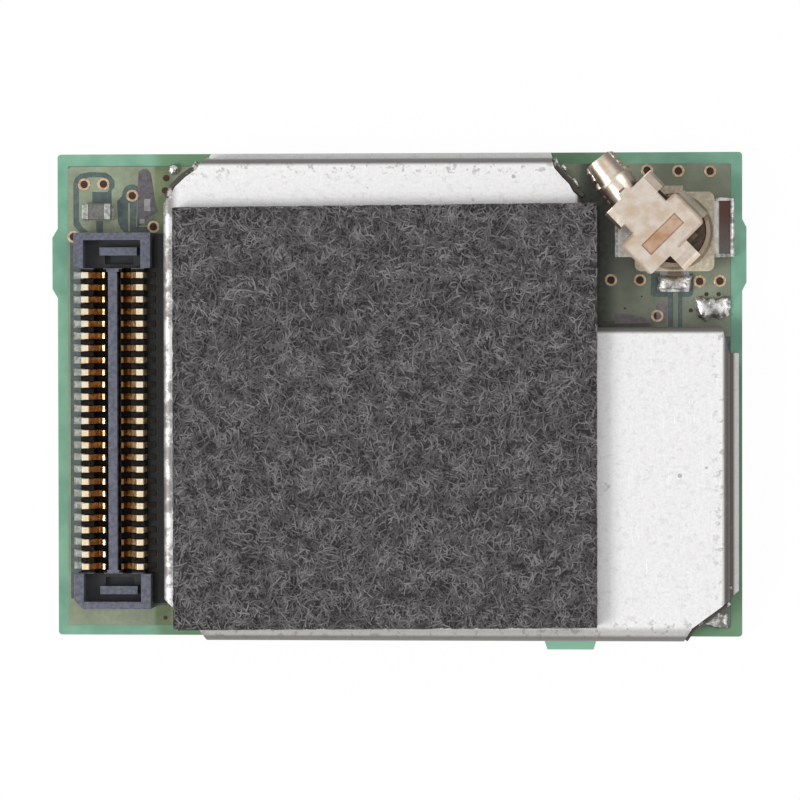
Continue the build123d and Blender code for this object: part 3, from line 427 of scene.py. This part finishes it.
land_colour = start.noise(8.0, 2).between("8E9390", "C4C6C2")
# Painted shade: the lands in the dark trench between the connector and the can are darkened.
lands_shade = (x > housing_right - 0.3) * (x < housing_right + 0.3)
land_colour = (lands_shade * 0.85).blend(land_colour, rgb("2A2521"))
feed(land_tin, "Base Color", land_colour)
feed(land_tin, "Roughness", start.noise(10.0, 2).spread(0, 1, 0.25, 0.45))
for node in ("solder_lands", "inner_lands", "radio_leads", "memory_leads", "front_end_leads",
             "regulator_leads", "crystal_lands"):
    dress(node, land_tin)

# Parts inside the can. Moulded, ceramic and metal-lidded chips, set down by a machine and soldered
# to their lands in an oven. They are out of sight once the can is on.
chip_finishes = {
    "radio_chip": "26272A", "flash_memory": "222326", "front_end_module": "2B2C2E",
    "voltage_regulator": "242527", "crystal_base": "4A3B33", "crystal_lid": "B8B2A4",
    "ceramic_filter": "C8C2B2", "power_inductor": "3A3A3E", "small_capacitors": "A38A6B",
    "small_resistors": "1B1B1E",
}
for node, code in chip_finishes.items():
    body, start = finish(node + "_body", metallic=0.9 if node == "crystal_lid" else 0.0)
    dark = [c * 0.8 for c in rgb(code)[:3]] + [1.0]
    feed(body, "Base Color", start.noise(14.0, 3).spread(0.3, 0.7).blend(dark, rgb(code)))
    feed(body, "Roughness", start.noise(18.0, 3).spread(0, 1, 0.45, 0.7))
    feed(body, "Normal", start.bump(start.noise(25.0, 3) * 0.01, 0.4))
    dress(node, body)
chip_metal, start = finish("chip_end_metal", metallic=0.85)
feed(chip_metal, "Base Color", start.noise(8.0, 2).between("9E9E9B", "D6D6D2"))
feed(chip_metal, "Roughness", start.noise(10.0, 2).spread(0, 1, 0.3, 0.5))
for node in ("filter_ends", "inductor_ends", "small_capacitor_ends", "small_resistor_ends"):
    dress(node, chip_metal)

# Shield can. Tin-plated steel sheet, blanked and folded in a press and soldered down round its
# foot. The lid is finely pitted and nicked along its bends, and the folded walls look dark.
tin, start = finish("tin_plate", metallic=0.4)
x, y, z = start.place()
lean_x, lean_y = start.lean()[:2]
speck = start.noise(11.0, 4, 0.65)
streak = start.noise(2.6, 3, stretch=(3.0, 0.25, 1))
# Bright specked plate with faint streaks. Painted reflection: the bends and walls are darkened by the way
# they face, for the dark round about that they mirror.
tin_colour = speck.between("F8F7F6", "FFFFFF", 0.35, 0.62)
tin_colour = (streak.spread(0.62, 0.8) * 0.3).blend(tin_colour, rgb("E6E4E2"))
tin_colour = (lean_x.spread(-0.05, 0.42) * 0.93).blend(tin_colour, rgb("3A3633"))
tin_colour = ((lean_x * -1.0).spread(0.35, 0.95) * 0.7).blend(tin_colour, rgb("8E8A86"))
tin_colour = (lean_y.spread(-0.05, 0.5) * 0.85).blend(tin_colour, rgb("45413E"))
tin_colour = ((lean_y * -1.0).spread(-0.05, 0.45) * 0.78).blend(tin_colour, rgb("565350"))
# The left bend is smudged with solder, and the lid's strip along its front edge is greyer.
smudge = start.noise(1.4, 4, 0.7).spread(0.42, 0.58) * x.spread(can_left + 0.55, can_left + 0.2)
front_strip_and_smudge = (y.spread(-7.5, -7.72) * 0.5).most(smudge * 0.85)
tin_colour = front_strip_and_smudge.blend(tin_colour, rgb("7A7672"))
# Painted shade darkens the crease along the right foot, beside the wall.
foot_crease_shade = x.spread(11.08, 10.98) * (x > 10.86) * (z < board_top + 0.2)
tin_colour = (foot_crease_shade * 0.9).blend(tin_colour, rgb("5E4E42"))
# Fine nicks, mostly near the bends, and a few larger pits.
lid_level = board_top + 1.2
bends = y.spread(6.95, 7.4).most(x.spread(10.2, 10.65) * (y < notch_y - 0.02)).most(y.spread(-7.2, -7.6))
nick = start.noise(5.0, 3, 0.6).spread(0.56, 0.64)
tin_colour = (nick * (bends * (z > lid_level) * 0.32 + 0.1)).blend(tin_colour, rgb("77736F"))
pits = (start.cells(1.1) < 0.085) * start.noise(0.7, 2).spread(0.5, 0.56)
tin_colour = (pits * 0.6).blend(tin_colour, rgb("8A8580"))
scratch = start.noise(30.0, 2, stretch=(1, 0.02, 1)).spread(0.66, 0.74)
feed(tin, "Base Color", tin_colour)
feed(tin, "Roughness", speck.spread(0.3, 0.7, 0.4, 0.56))
feed(tin, "Normal", start.bump(speck * 0.01 + streak * 0.006 - scratch * 0.012, 0.5))
dress("shield_can", tin)

# Solder. Bright uneven drops, cooled where the melt wetted the foot and the corners of the can.
# The same solder holds the two ground tabs and the signal tab of the coaxial socket.
solder, start = finish("solder_joint", metallic=0.85)
lumps = start.noise(4.0, 4, 0.6)
feed(solder, "Base Color", lumps.between("8F8C88", "F4F3F1", 0.35, 0.62))
feed(solder, "Roughness", start.noise(7.0, 3).spread(0, 1, 0.2, 0.4))
feed(solder, "Normal", start.bump(lumps * 0.05, 0.5))
dress("socket_solder", solder)


def blob(name, outline, height, seed, base):
    """A cooled drop of solder: a low uneven dome over an outline."""
    chance = random.Random(seed)
    middle = [sum(c) / len(outline) for c in zip(*outline)]
    loop = []
    for (x0, y0), (x1, y1) in zip(outline, outline[1:] + outline[:1]):
        for i in range(4):
            loop.append((x0 + (x1 - x0) * i / 4, y0 + (y1 - y0) * i / 4))
    count, rings = len(loop), 6
    verts, faces = [], []
    for ring in range(rings):
        rise = math.pi / 2 * ring / rings
        for x, y in loop:
            wander = 1 + 0.08 * chance.uniform(-1, 1) * (ring > 0)
            scale = math.cos(rise) ** 0.5 * wander
            dip = 1 + 0.1 * chance.uniform(-1, 0)
            verts.append((middle[0] + (x - middle[0]) * scale, middle[1] + (y - middle[1]) * scale,
                          base + height * math.sin(rise) * dip))
    verts.append((*middle, base + height))
    verts.append((*middle, base))
    top, foot = len(verts) - 2, len(verts) - 1
    for i in range(count):
        j = (i + 1) % count
        for low in range(0, (rings - 1) * count, count):
            faces.append([low + i, low + j, low + count + j, low + count + i])
        faces.append([(rings - 1) * count + i, (rings - 1) * count + j, top])
        faces.append([j, i, foot])
    area = sum(a[0] * b[1] - b[0] * a[1] for a, b in zip(outline, outline[1:] + outline[:1]))
    if area < 0:
        faces = [face[::-1] for face in faces]
    piece = solid(name, verts, faces, solder, "board")
    piece.data.shade_smooth()
    return piece


foot_line = [
    (9.74, 2.9), (9.72, 3.16), (9.95, 3.24), (10.1, 3.12), (10.3, 3.2), (10.45, 3.12), (10.7, 3.22),
    (10.9, 3.2), (10.92, 2.85), (10.88, 2.56), (10.6, 2.46), (10.35, 2.52), (10.1, 2.4), (9.85, 2.55),
]
drop_height = 0.22
foot_blob = blob("solder_foot", foot_line, drop_height, 3, board_top)
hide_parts("shield_solder")
corner_blobs = {
    "solder_corner_left": [
        (-7.58, 7.56), (-7.38, 7.62), (-7.24, 7.5), (-7.3, 7.3), (-7.5, 7.24), (-7.6, 7.4),
    ],
    "solder_corner_left_foot": [(-7.68, 6.52), (-7.6, 6.6), (-7.56, 6.36), (-7.62, 6.12), (-7.7, 6.2)],
    "solder_corner_left_end": [(-6.62, 7.62), (-6.3, 7.84), (-6.18, 7.8), (-6.36, 7.62), (-6.6, 7.5)],
    "solder_corner_notch": [(5.68, 7.1), (5.8, 7.14), (5.96, 6.95), (5.98, 6.78), (5.82, 6.76), (5.72, 6.9)],
    "solder_corner_notch_end": [(5.32, 7.5), (5.44, 7.6), (5.6, 7.44), (5.56, 7.3), (5.4, 7.32)],
    "solder_corner_right": [
        (10.02, -7.52), (10.42, -7.02), (10.62, -7.12), (10.82, -7.2), (10.84, -7.68), (10.4, -7.66),
    ],
    "solder_corner_right_foot": [(10.82, -6.3), (10.96, -6.26), (11.0, -6.4), (10.86, -6.46)],
    "solder_corner_bottom": [(-7.5, -7.2), (-7.3, -7.15), (-7.1, -7.5), (-7.2, -7.66), (-7.46, -7.6)],
}
for number, (name, outline) in enumerate(corner_blobs.items()):
    blob(name, outline, drop_height, 10 + number, board_top)

# Corner lips. Where the corners of the can are cut away, the drawn edge of the sheet turns down a
# little and shows as a dark rim with bright smears of solder, under the edge of the lid.
lip_metal, start = finish("cut_edge", metallic=0.6)
smear = start.noise(3.2, 4, 0.65)
feed(lip_metal, "Base Color", smear.between("5A5650", "D6D2CC", 0.52, 0.64))
feed(lip_metal, "Roughness", smear.spread(0, 1, 0.3, 0.55))
feed(lip_metal, "Normal", start.bump(smear * 0.04, 0.5))
lip_low, lip_high = board_top + 0.78, board_top + 1.15


def lip(name, corner, way, width, line):
    """A lip along the cut at a corner, its line measured in from the corner along two sides."""
    loop = line + [(a - width, b - width * 0.9) for a, b in line[::-1]]
    loop = [(corner[0] + way[0] * a, corner[1] + way[1] * b) for a, b in loop]
    piece = sheet_metal(name, loop, lip_low, lip_high, lip_metal, "board")
    soften(piece, 0.03)


lip("lip_left", (can_left, 7.74), (1, -1), 0.14,
    [(1.24, 0.16), (1.11, 0.34), (0.75, 0.59), (0.41, 0.91), (0.23, 1.24), (0.16, 1.30)])
lip("lip_notch", (notch_x, 7.74), (-1, -1), 0.14,
    [(1.0, 0.10), (0.92, 0.34), (0.67, 0.63), (0.44, 0.86), (0.30, 1.12), (0.04, 1.32)])
lip("lip_right", (10.88, -8.04), (-1, 1), 0.09,
    [(1.46, 0.08), (1.22, 0.43), (0.93, 0.65), (0.31, 1.10), (0.04, 1.30)])

# Board-to-board connector. A moulded housing of grey-blue polymer with comb walls on both sides
# of a centre rib, held down at its ends by soldered metal anchors.
connector_x = (housing_left + housing_right) / 2
connector_y = (housing_bottom + housing_top) / 2
connector_low = (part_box("connector_housing")[0] / mm).z
polymer, start = finish("housing_polymer")
x, y, z = start.place()
across, along = x.distance(connector_x), y.distance(connector_y)
grain = start.noise(8.0, 3)
polymer_colour = grain.between("50525E", "686B79")
# Painted shade: the housing is darkened low down by its floor, and the comb walls between the contacts are
# painted near black, with a metallic gloss, for the shade in their deep slots.
floor_shade = (z < connector_low + 0.5) * (along < 6.0)
polymer_colour = floor_shade.blend(polymer_colour, rgb("2C2C31"))
comb_shade = (across > 0.2) * (along < 5.0)
polymer_colour = comb_shade.blend(polymer_colour, grain.between("0F0C0A", "211A15"))
feed(polymer, "Base Color", polymer_colour)
feed(polymer, "Metallic", comb_shade * 0.75)
feed(polymer, "Roughness", grain.spread(0, 1, 0.36, 0.52))
feed(polymer, "Normal", start.bump(start.noise(22.0, 3) * 0.006, 0.5))
dress("connector_housing", polymer)
round_edges("connector_housing", 0.018)
dress("connector_anchors", land_tin)

# Connector contacts. Thin strips of copper alloy, gold-plated, bent into springs and pressed into
# the comb walls in two rows. Their tails are soldered to the board.
hook_reach, beam_reach, shoulder_reach = 0.44, 0.78, 1.03
gold, start = finish("contact_gold", metallic=1.0)
x, y, z = start.place()
across = x.distance(connector_x)
right_row = x > connector_x
wear = start.noise(6.0, 3)
# From the rib outwards: the rounded hook, the sloping beam, the flat shoulder and the soldered tail. Painted
# light: the flat shoulders and the left row's hooks are painted pale for the light that they catch.
gold_colour = wear.between("A86A28", "D69A52")
gold_colour = across.spread(hook_reach, beam_reach).blend(gold_colour, wear.between("8A5A2E", "CC9C66"))
# Painted highlight: the right row's beams are painted pale just outside the hooks.
beam_highlight = across.spread(hook_reach - 0.02, hook_reach + 0.06) * right_row
gold_colour = (beam_highlight * 0.8).blend(gold_colour, wear.between("B58852", "FBE0B4", 0.35, 0.65))
hook = (across < hook_reach + 0.09) * (z > connector_low + 0.3)
gold_colour = hook.blend(gold_colour, wear.between("C99A5E", "FFE9C4", 0.35, 0.65))
# Painted shade: the right row's hooks are painted dark brown, the shaded twins of the pale left ones.
gold_colour = (hook * right_row).blend(gold_colour, rgb("7A5C3C"))
shoulder = (across > beam_reach) * (z > connector_low + 0.6)
gold_colour = shoulder.blend(gold_colour, wear.between("FFE2AE", "FFF3D8", 0.3, 0.6))
tail = (across > shoulder_reach) * (z < connector_low + 0.2)
gold_colour = tail.blend(gold_colour, wear.between("9AA09A", "D0D4CE"))
# Painted shade: the right row's tails, in the dark trench by the can, are painted near black.
tail_shade = tail * right_row
gold_colour = (tail_shade * 0.95).blend(gold_colour, rgb("2C2622"))
feed(gold, "Base Color", gold_colour)
feed(gold, "Metallic", 1.0 - (across > hook_reach) * (1.0 - tail_shade) * 0.5)
feed(gold, "Roughness", start.noise(9.0, 2).spread(0, 1, 0.24, 0.4))
feed(gold, "Normal", start.bump(wear * 0.02, 0.4))
for node in ("contacts_left", "contacts_right"):
    dress(node, gold)
    round_edges(node, 0.014, 1)

# Chip capacitor. A fired block of layered ceramic with silvered and tinned ends, by which it is
# soldered to its two lands.
ceramic, start = finish("capacitor_ceramic")
feed(ceramic, "Base Color", start.noise(12.0, 3).between("605E5A", "7A7772"))
feed(ceramic, "Roughness", start.noise(16.0, 2).spread(0, 1, 0.4, 0.55))
feed(ceramic, "Normal", start.bump(start.noise(22.0, 3) * 0.008, 0.4))
dress("chip_capacitor", ceramic)
dress("capacitor_ends", chip_metal)
round_edges("chip_capacitor", 0.02, 2)
round_edges("capacitor_ends", 0.04, 3)

# Coaxial socket. A pale moulded base round a silver-plated shell and a gold-plated pin, held by
# solder at its two ground tabs and its signal tab.
base_left, base_bottom, base_right = edges("socket_base")[:3]
base_half = (base_right - base_left) / 2
socket_x, socket_y = base_left + base_half, base_bottom + base_half
base_polymer, start = finish("socket_polymer")
feed(base_polymer, "Base Color", start.noise(9.0, 3).between("B3A994", "CFC5B0"))
feed(base_polymer, "Roughness", start.noise(14.0, 2).spread(0, 1, 0.45, 0.6))
feed(base_polymer, "Normal", start.bump(start.noise(24.0, 3) * 0.006, 0.4))
dress("socket_base", base_polymer)
round_edges("socket_base", 0.04, 3)
silver, start = finish("shell_silver", metallic=0.9)
x, y, z = start.place()
# The right ground tab is darker between its two folded rims, brown at the back and grey at the front.
tab_face = (x - socket_x).spread(1.42, 1.47) * (z < board_top + 0.3)
tab_face *= (y > socket_y - 0.78) * (y < socket_y + 1.0)
tab_darkening = (y + start.noise(2.0, 4) * 1.2).between("7A7673", "6B5048", 5.1, 6.6)
feed(silver, "Base Color", tab_face.blend(start.noise(6.0, 3).between("D8D4CE", "F4F2EE"), tab_darkening))
feed(silver, "Roughness", start.noise(9.0, 2).spread(0, 1, 0.22, 0.38))
feed(silver, "Normal", start.bump(start.noise(5.0, 3) * 0.02, 0.4))
dress("socket_shell", silver)
pin_gold, start = finish("pin_gold", metallic=1.0)
y = start.place()[1]
signal_tab = y < socket_y - 1.25
feed(pin_gold, "Base Color", signal_tab.blend(start.noise(6.0, 3).between("B88440", "E9C07A"), rgb("8C7A6C")))
feed(pin_gold, "Roughness", start.noise(9.0, 2).spread(0, 1, 0.24, 0.4))
dress("socket_pin", pin_gold)
land_top = board_top + 0.03
signal_drop = [(8.50, 3.9), (9.68, 3.9), (9.62, 3.42), (9.3, 3.38), (8.9, 3.44), (8.52, 3.38)]
blob("solder_signal", signal_drop, 0.24, 41, land_top)
tab_rim = [
    (10.98, 4.50), (11.02, 6.44), (10.42, 6.46), (10.40, 6.34), (10.92, 6.34), (10.90, 4.62), (10.4, 4.62),
    (10.4, 4.48),
]
rim = sheet_metal("tab_solder_rim", tab_rim, land_top, board_top + 0.26, solder, "board")
soften(rim, 0.03)

# Coaxial plug. One stamped and rolled shell of copper alloy with a warm nickel-silver plating,
# snapped on the socket. Its lid is folded over the ring, and its barrel is open for a cable.
turn = math.radians(134.5)
lid_top = (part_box("plug_shell")[1] / mm).z
lid_near, lid_far, lid_half, lid_shift = 0.86, -0.50, 1.235, 0.34
neck_end, neck_half, neck_shift = 1.26, 0.755, 0.26
wing_end, barrel_start = 1.9, 1.95
recess_reach, recess_half_width, recess_half_length = 0.17, 0.225, 0.75
plating, start = finish("plug_plate", metallic=0.8)
x, y, z = start.place()
lean_x, lean_y, lean_z = start.lean()
reach = (x - socket_x) * math.cos(turn) + (y - socket_y) * math.sin(turn)
shift = (y - socket_y) * math.cos(turn) - (x - socket_x) * math.sin(turn)
slant = lean_x + lean_y
cloud, fine = start.noise(2.6, 4), start.noise(9.0, 4)
plug_colour = cloud.between("EAD3BC", "FAEFE2", 0.32, 0.68)
plug_colour = (fine.spread(0.55, 0.8) * 0.5).blend(plug_colour, rgb("D3B69C"))
# Painted shade: the bends round the lid and the neck are darkened to brown, and lower, deeper places are
# darkened too.
lid_side = (lid_half - shift.distance(lid_shift)).spread(0.12, 0.02)
lid_side *= (reach < lid_near - 0.02) * (reach > lid_far)
neck_room = neck_half - shift.distance(neck_shift)
neck_side = neck_room.spread(0.08, 0.01) * (reach > lid_near - 0.02) * (reach < neck_end)
step = reach.spread(lid_near - 0.14, lid_near - 0.02) * (reach < lid_near) * neck_room.spread(0.0, -0.04)
plug_colour = (lid_side.most(neck_side).most(step) * 0.55).blend(plug_colour, rgb("A07C60"))
far_side = reach.spread(lid_far + 0.14, lid_far) * (reach > lid_far - 0.02) * (shift < 0.28)
plug_colour = (far_side * 0.5).blend(plug_colour, rgb("A07C60"))
deep_shade = z.spread(lid_top - 0.25, lid_top - 1.0)
plug_colour = (deep_shade * 0.7).blend(plug_colour, rgb("A48B72"))
# Painted shade: the rolled wings and the barrel's sides are darkened where they turn away from the light, and
# the wings' sides towards the light are toned down too.
shaded = slant.spread(0.25, 1.0) * (reach < wing_end - 0.1)
plug_colour = (shaded * 0.6).blend(plug_colour, rgb("948A82"))
wing = (reach > 1.0) * (reach < wing_end)
plug_colour = (slant.spread(0.1, 0.5) * wing * 0.85).blend(plug_colour, rgb("6A5848"))
plug_colour = ((slant * -1.0).spread(0.1, 0.5) * wing * 0.8).blend(plug_colour, rgb("8A7E6E"))
# The pressed recess in the lid is copper-coloured, with painted shade along its edge.
recess = (z < lid_top - 0.035) * (z > lid_top - 0.07) * (lean_z > 0.8) * (reach < 1.0) * (reach > lid_far)
plug_colour = recess.blend(plug_colour, cloud.between("CFA07C", "E6C6AC", 0.35, 0.65))
recess_room = (recess_half_width - reach.distance(recess_reach)).least(
    recess_half_length - shift.distance(lid_shift))
plug_colour = (recess_room.spread(0.055, 0.01) * recess * 0.6).blend(plug_colour, rgb("7A5034"))
# Painted shade on the barrel's sides, which turn away from the light.
sideways = lean_x * math.sin(turn) - lean_y * math.cos(turn)
barrel_side = sideways.distance(0.0).spread(0.35, 0.85) * (reach > barrel_start)
plug_colour = (barrel_side * 0.85).blend(plug_colour, rgb("54443A"))
feed(plating, "Base Color", plug_colour)
feed(plating, "Roughness", fine.spread(0, 1, 0.24, 0.4))
feed(plating, "Normal", start.bump(fine * 0.008 + cloud * 0.02, 0.4))
dress("plug_shell", plating)
round_edges("plug_shell", 0.04, 3)


def plug_point(reach, shift, height):
    """A point from its distance along the plug, its shift to the left and its height over the board."""
    return (socket_x + reach * math.cos(turn) - shift * math.sin(turn),
            socket_y + reach * math.sin(turn) + shift * math.cos(turn), board_top + height)


# Crimp flaps. The torn outer edges of the barrel's sheet, splayed along both its sides, where the
# blank was cut from its strip.
flap_turn, flap_reach, flap_shift, flap_length = math.radians(-6.0), 1.90, 0.31, 1.36
flap_root, flap_edge, flap_sheet = 0.36, 0.62, 0.10
flap_steps = 22


def crimp_flap(name, side, seed):
    """A ragged strip of sheet along one side of the barrel."""
    chance = random.Random(seed)
    verts, faces = [], []
    for i in range(flap_steps + 1):
        along = 0.1 + flap_length * i / flap_steps
        tear = 0.05 * chance.uniform(-1, 1) + (0.06 if 8 < i < 11 else 0)
        outer = flap_edge + tear - 0.10 * i / flap_steps
        edge_low = 1.66 + 0.04 * chance.uniform(-1, 1)
        for out, low, high in ((flap_root, 1.86, 1.86 + flap_sheet), (outer, edge_low, 1.76)):
            a = flap_reach + along * math.cos(flap_turn) - side * out * math.sin(flap_turn)
            b = flap_shift + along * math.sin(flap_turn) + side * out * math.cos(flap_turn)
            verts += [plug_point(a, b, low), plug_point(a, b, high)]
    for i in range(flap_steps):
        a, b = 4 * i, 4 * i + 4
        faces += [[a + 1, b + 1, b + 3, a + 3], [a, a + 2, b + 2, b], [a + 2, a + 3, b + 3, b + 2],
                  [a, b, b + 1, a + 1]]
    last = 4 * flap_steps
    faces += [[0, 1, 3, 2], [last, last + 2, last + 3, last + 1]]
    if side > 0:
        faces = [quad[::-1] for quad in faces]
    flap = solid(name, verts, faces, plating, "plug")
    flap.data.shade_smooth()


crimp_flap("crimp_flap_1", 1, 5)
crimp_flap("crimp_flap_2", -1, 6)

# Window at the barrel's root. A small opening punched in the shell's sheet and framed by the folded neck; a
# dark sheet in it is painted with the shade inside.
window_shade_paint, start = finish("window_shade", metallic=0.5)
feed(window_shade_paint, "Base Color", start.noise(8.0, 3).between("5A4630", "97805A"))
feed(window_shade_paint, "Roughness", start.noise(8.0, 3).spread(0, 1, 0.4, 0.6))
window_high = lid_top - 0.001
window_line = [plug_point(a, b, 0)[:2] for a, b in ((1.93, 0.20), (2.13, 0.18), (2.15, 0.40), (1.95, 0.42))]
window_low = window_high - 0.099
sheet_metal("barrel_window", window_line, window_low, window_high, window_shade_paint, "plug")

# Plug insulator and contact. A moulded boss and flap that hold a sprung, gold-plated tube in the
# middle of the plug's ring, over the socket's pin.
insulator, start = finish("insulator_polymer")
# Painted shade: the insulator is painted dark brown for the shade in the openings of the plug where it shows.
feed(insulator, "Base Color", start.noise(9.0, 3).between("43352A", "5E4C3C"))
feed(insulator, "Roughness", start.noise(14.0, 2).spread(0, 1, 0.4, 0.6))
dress("plug_insulator", insulator)
dress("plug_contact", pin_gold)

# Felt pad. Die-cut needled felt of dark and pale fibres, stuck on the can's lid with a thin film of
# adhesive. Its cut edge is a little ragged, and loose fibres lie all over its top.
film, start = finish("film_adhesive")
feed(film, "Base Color", start.noise(5.0, 2).between("B8B09A", "CFC8B4"))
feed(film, "Roughness", start.noise(9.0, 2).spread(0, 1, 0.3, 0.5))
dress("pad_adhesive", film)
pad_left, pad_front, pad_skew = -7.27, -7.66, 0.11
pad_width, pad_depth = 13.86, 13.79
pad_low, pad_high = ((corner / mm).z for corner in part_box("felt_pad"))
fleece_height = 0.05
pad_corners = [
    (pad_left, pad_front), (pad_left + pad_width, pad_front + pad_skew),
    (pad_left + pad_width, pad_front + pad_skew + pad_depth), (pad_left, pad_front + pad_depth),
]
felt, start = finish("needled_felt", sheen_weight=0.2, sheen_roughness=0.5)
clump, fine = start.noise(2.2, 5, 0.7), start.noise(9.0, 4, 0.7)
feed(felt, "Base Color", fine.between("1E1C1C", "474444", 0.35, 0.65))
feed(felt, "Roughness", fine.spread(0, 1, 0.85, 1.0))
feed(felt, "Normal", start.bump(fine * 0.08 + clump * 0.05, 0.8))
chance = random.Random(11)
edge_line, edge_points = [], 110
for (x0, y0), (x1, y1) in zip(pad_corners, pad_corners[1:] + pad_corners[:1]):
    for i in range(edge_points):
        x, y = (a + (b - a) * (i + 0.5) / edge_points for a, b in ((x0, x1), (y0, y1)))
        inward = Vector((-x - 0.34, -y - 0.7)).normalized() * abs(chance.gauss(0, 0.022))
        edge_line.append((x + inward.x, y + inward.y))
pad = sheet_metal("felt_slab", edge_line, pad_low, pad_high - fleece_height, felt, "board")
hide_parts("felt_pad")


def fibres(name, count, low, high, dark, light, seed):
    """Loose curved fibres lying over the top of the pad, as thin ribbons."""
    chance = random.Random(seed)
    verts, faces = [], []
    steps = 4
    for _ in range(count):
        u, v = chance.random(), chance.random()
        x = pad_left + pad_width * u
        y = pad_front + pad_skew * u + pad_depth * v
        z = pad_high - fleece_height + chance.uniform(low, high)
        heading, bend = chance.uniform(0, math.tau), chance.gauss(0, 1.1)
        length, width = chance.uniform(0.16, 0.5), chance.uniform(0.014, 0.026)
        roll, arch = chance.uniform(-0.6, 0.6), chance.uniform(0.0, 0.03)
        start_at = len(verts)
        for i in range(steps + 1):
            inner_x = min(max(x, pad_left + 0.01), pad_left + pad_width - 0.01)
            front = pad_front + pad_skew * (inner_x - pad_left) / pad_width
            inner_y = min(max(y, front), front + pad_depth)
            top = min(z + arch * math.sin(math.pi * i / steps), pad_high - 0.002)
            out_x, out_y = -math.sin(heading) * width, math.cos(heading) * width
            verts.append((inner_x - out_x, inner_y - out_y, top - roll * width))
            verts.append((inner_x + out_x, inner_y + out_y, top + roll * width))
            heading += bend / steps
            x += length / steps * math.cos(heading)
            y += length / steps * math.sin(heading)
        for i in range(steps):
            a = start_at + 2 * i
            faces.append([a, a + 2, a + 3, a + 1])
    fleece, start = finish(name + "_felt", sheen_weight=0.2, sheen_roughness=0.4)
    feed(fleece, "Base Color", start.noise(1.6, 4, 0.6).between(dark, light, 0.35, 0.65))
    feed(fleece, "Roughness", start.noise(6.0, 2).spread(0, 1, 0.6, 0.85))
    solid(name, verts, faces, fleece, "board")


fibres("fibres_dark", 18000, -0.01, 0.03, "242222", "403D3D", 21)
fibres("fibres_grey", 17000, 0.0, 0.045, "454242", "605D5D", 22)
fibres("fibres_pale", 8000, 0.01, 0.046, "5C5959", "7F7C7C", 23)

# Floor, lamps and camera. A pale matt table under a soft white tent with two square lamps. The
# camera looks down from 150 mm, a little from the right and from the back.
floor_mesh = bpy.data.meshes.new("floor")
span = 2.0
floor_mesh.from_pydata(
    [(-span, -span, 0), (span, -span, 0), (span, span, 0), (-span, span, 0)], [], [(0, 1, 2, 3)]
)
floor = bpy.data.objects.new("floor", floor_mesh)
floor.location.z = cad_low.z
bpy.context.scene.collection.objects.link(floor)
table = bpy.data.materials.new("pale_table")
table.use_nodes = True
tree = table.node_tree
tree.nodes.clear()
start = Tone(tree)
out = tree.nodes.new("ShaderNodeOutputMaterial")
matt = start.node("ShaderNodeBsdfDiffuse", {}, {"Color": (0.92, 0.92, 0.92, 1)})
glow = start.node("ShaderNodeEmission", {}, {"Color": (1, 1, 1, 1), "Strength": 1.0})
rays = start.node("ShaderNodeLightPath")
seen = rays.most(start.node("ShaderNodeLightPath", output="Is Glossy Ray"))
seen = seen.most(start.node("ShaderNodeLightPath", output="Is Transmission Ray"))
mixed = start.node("ShaderNodeMixShader", {}, {0: seen * 0.97, 1: matt, 2: glow})
tree.links.new(mixed.socket, out.inputs["Surface"])
floor_mesh.materials.append(table)

world = bpy.data.worlds.new("studio")
bpy.context.scene.world = world
world.use_nodes = True
tree = world.node_tree
tree.nodes.clear()
start = Tone(tree)
seen = start.node("ShaderNodeLightPath")
soft = start.node("ShaderNodeBackground", {}, {"Color": (1, 1, 1, 1), "Strength": 0.55})
white = start.node("ShaderNodeBackground", {}, {"Color": (1, 1, 1, 1), "Strength": 1.0})
mixed = start.node("ShaderNodeMixShader", {}, {0: seen, 1: soft, 2: white})
out = tree.nodes.new("ShaderNodeOutputWorld")
tree.links.new(mixed.socket, out.inputs["Surface"])


def lamp(name, place, size, power):
    """A soft square lamp that shines at the part."""
    light = bpy.data.lights.new(name, "AREA")
    light.shape = "SQUARE"
    light.size = size
    light.energy = power
    made = bpy.data.objects.new(name, light)
    made.location = place
    made.rotation_euler = (-Vector(place)).to_track_quat("-Z", "Y").to_euler()
    bpy.context.scene.collection.objects.link(made)


lamp("key_lamp", (-0.16, -0.06, 0.16), 0.10, 0.30)
lamp("fill_lamp", (0.14, 0.04, 0.14), 0.16, 0.10)

camera_distance = 150 * mm
tilt_x, tilt_y, roll = math.radians(4.0), math.radians(1.0), math.radians(-0.089)
aim = Vector((0.0516, -0.1774, 0.6)) * mm
back = Vector((math.sin(tilt_x), math.sin(tilt_y), 0))
back.z = math.sqrt(1 - back.length_squared)
right = Vector((0, 1, 0)).cross(back).normalized()
up = back.cross(right)
right, up = right * math.cos(roll) + up * math.sin(roll), up * math.cos(roll) - right * math.sin(roll)
view = bpy.data.cameras.new("camera")
view.sensor_width = 36
view.lens = 204.8
view.clip_start = 0.01
camera = bpy.data.objects.new("camera", view)
turned = Matrix((right, up, back)).transposed()
camera.matrix_world = Matrix.Translation(aim + back * camera_distance) @ turned.to_4x4()
bpy.context.scene.collection.objects.link(camera)
bpy.context.scene.camera = camera
bpy.context.scene.view_settings.view_transform = "Standard"
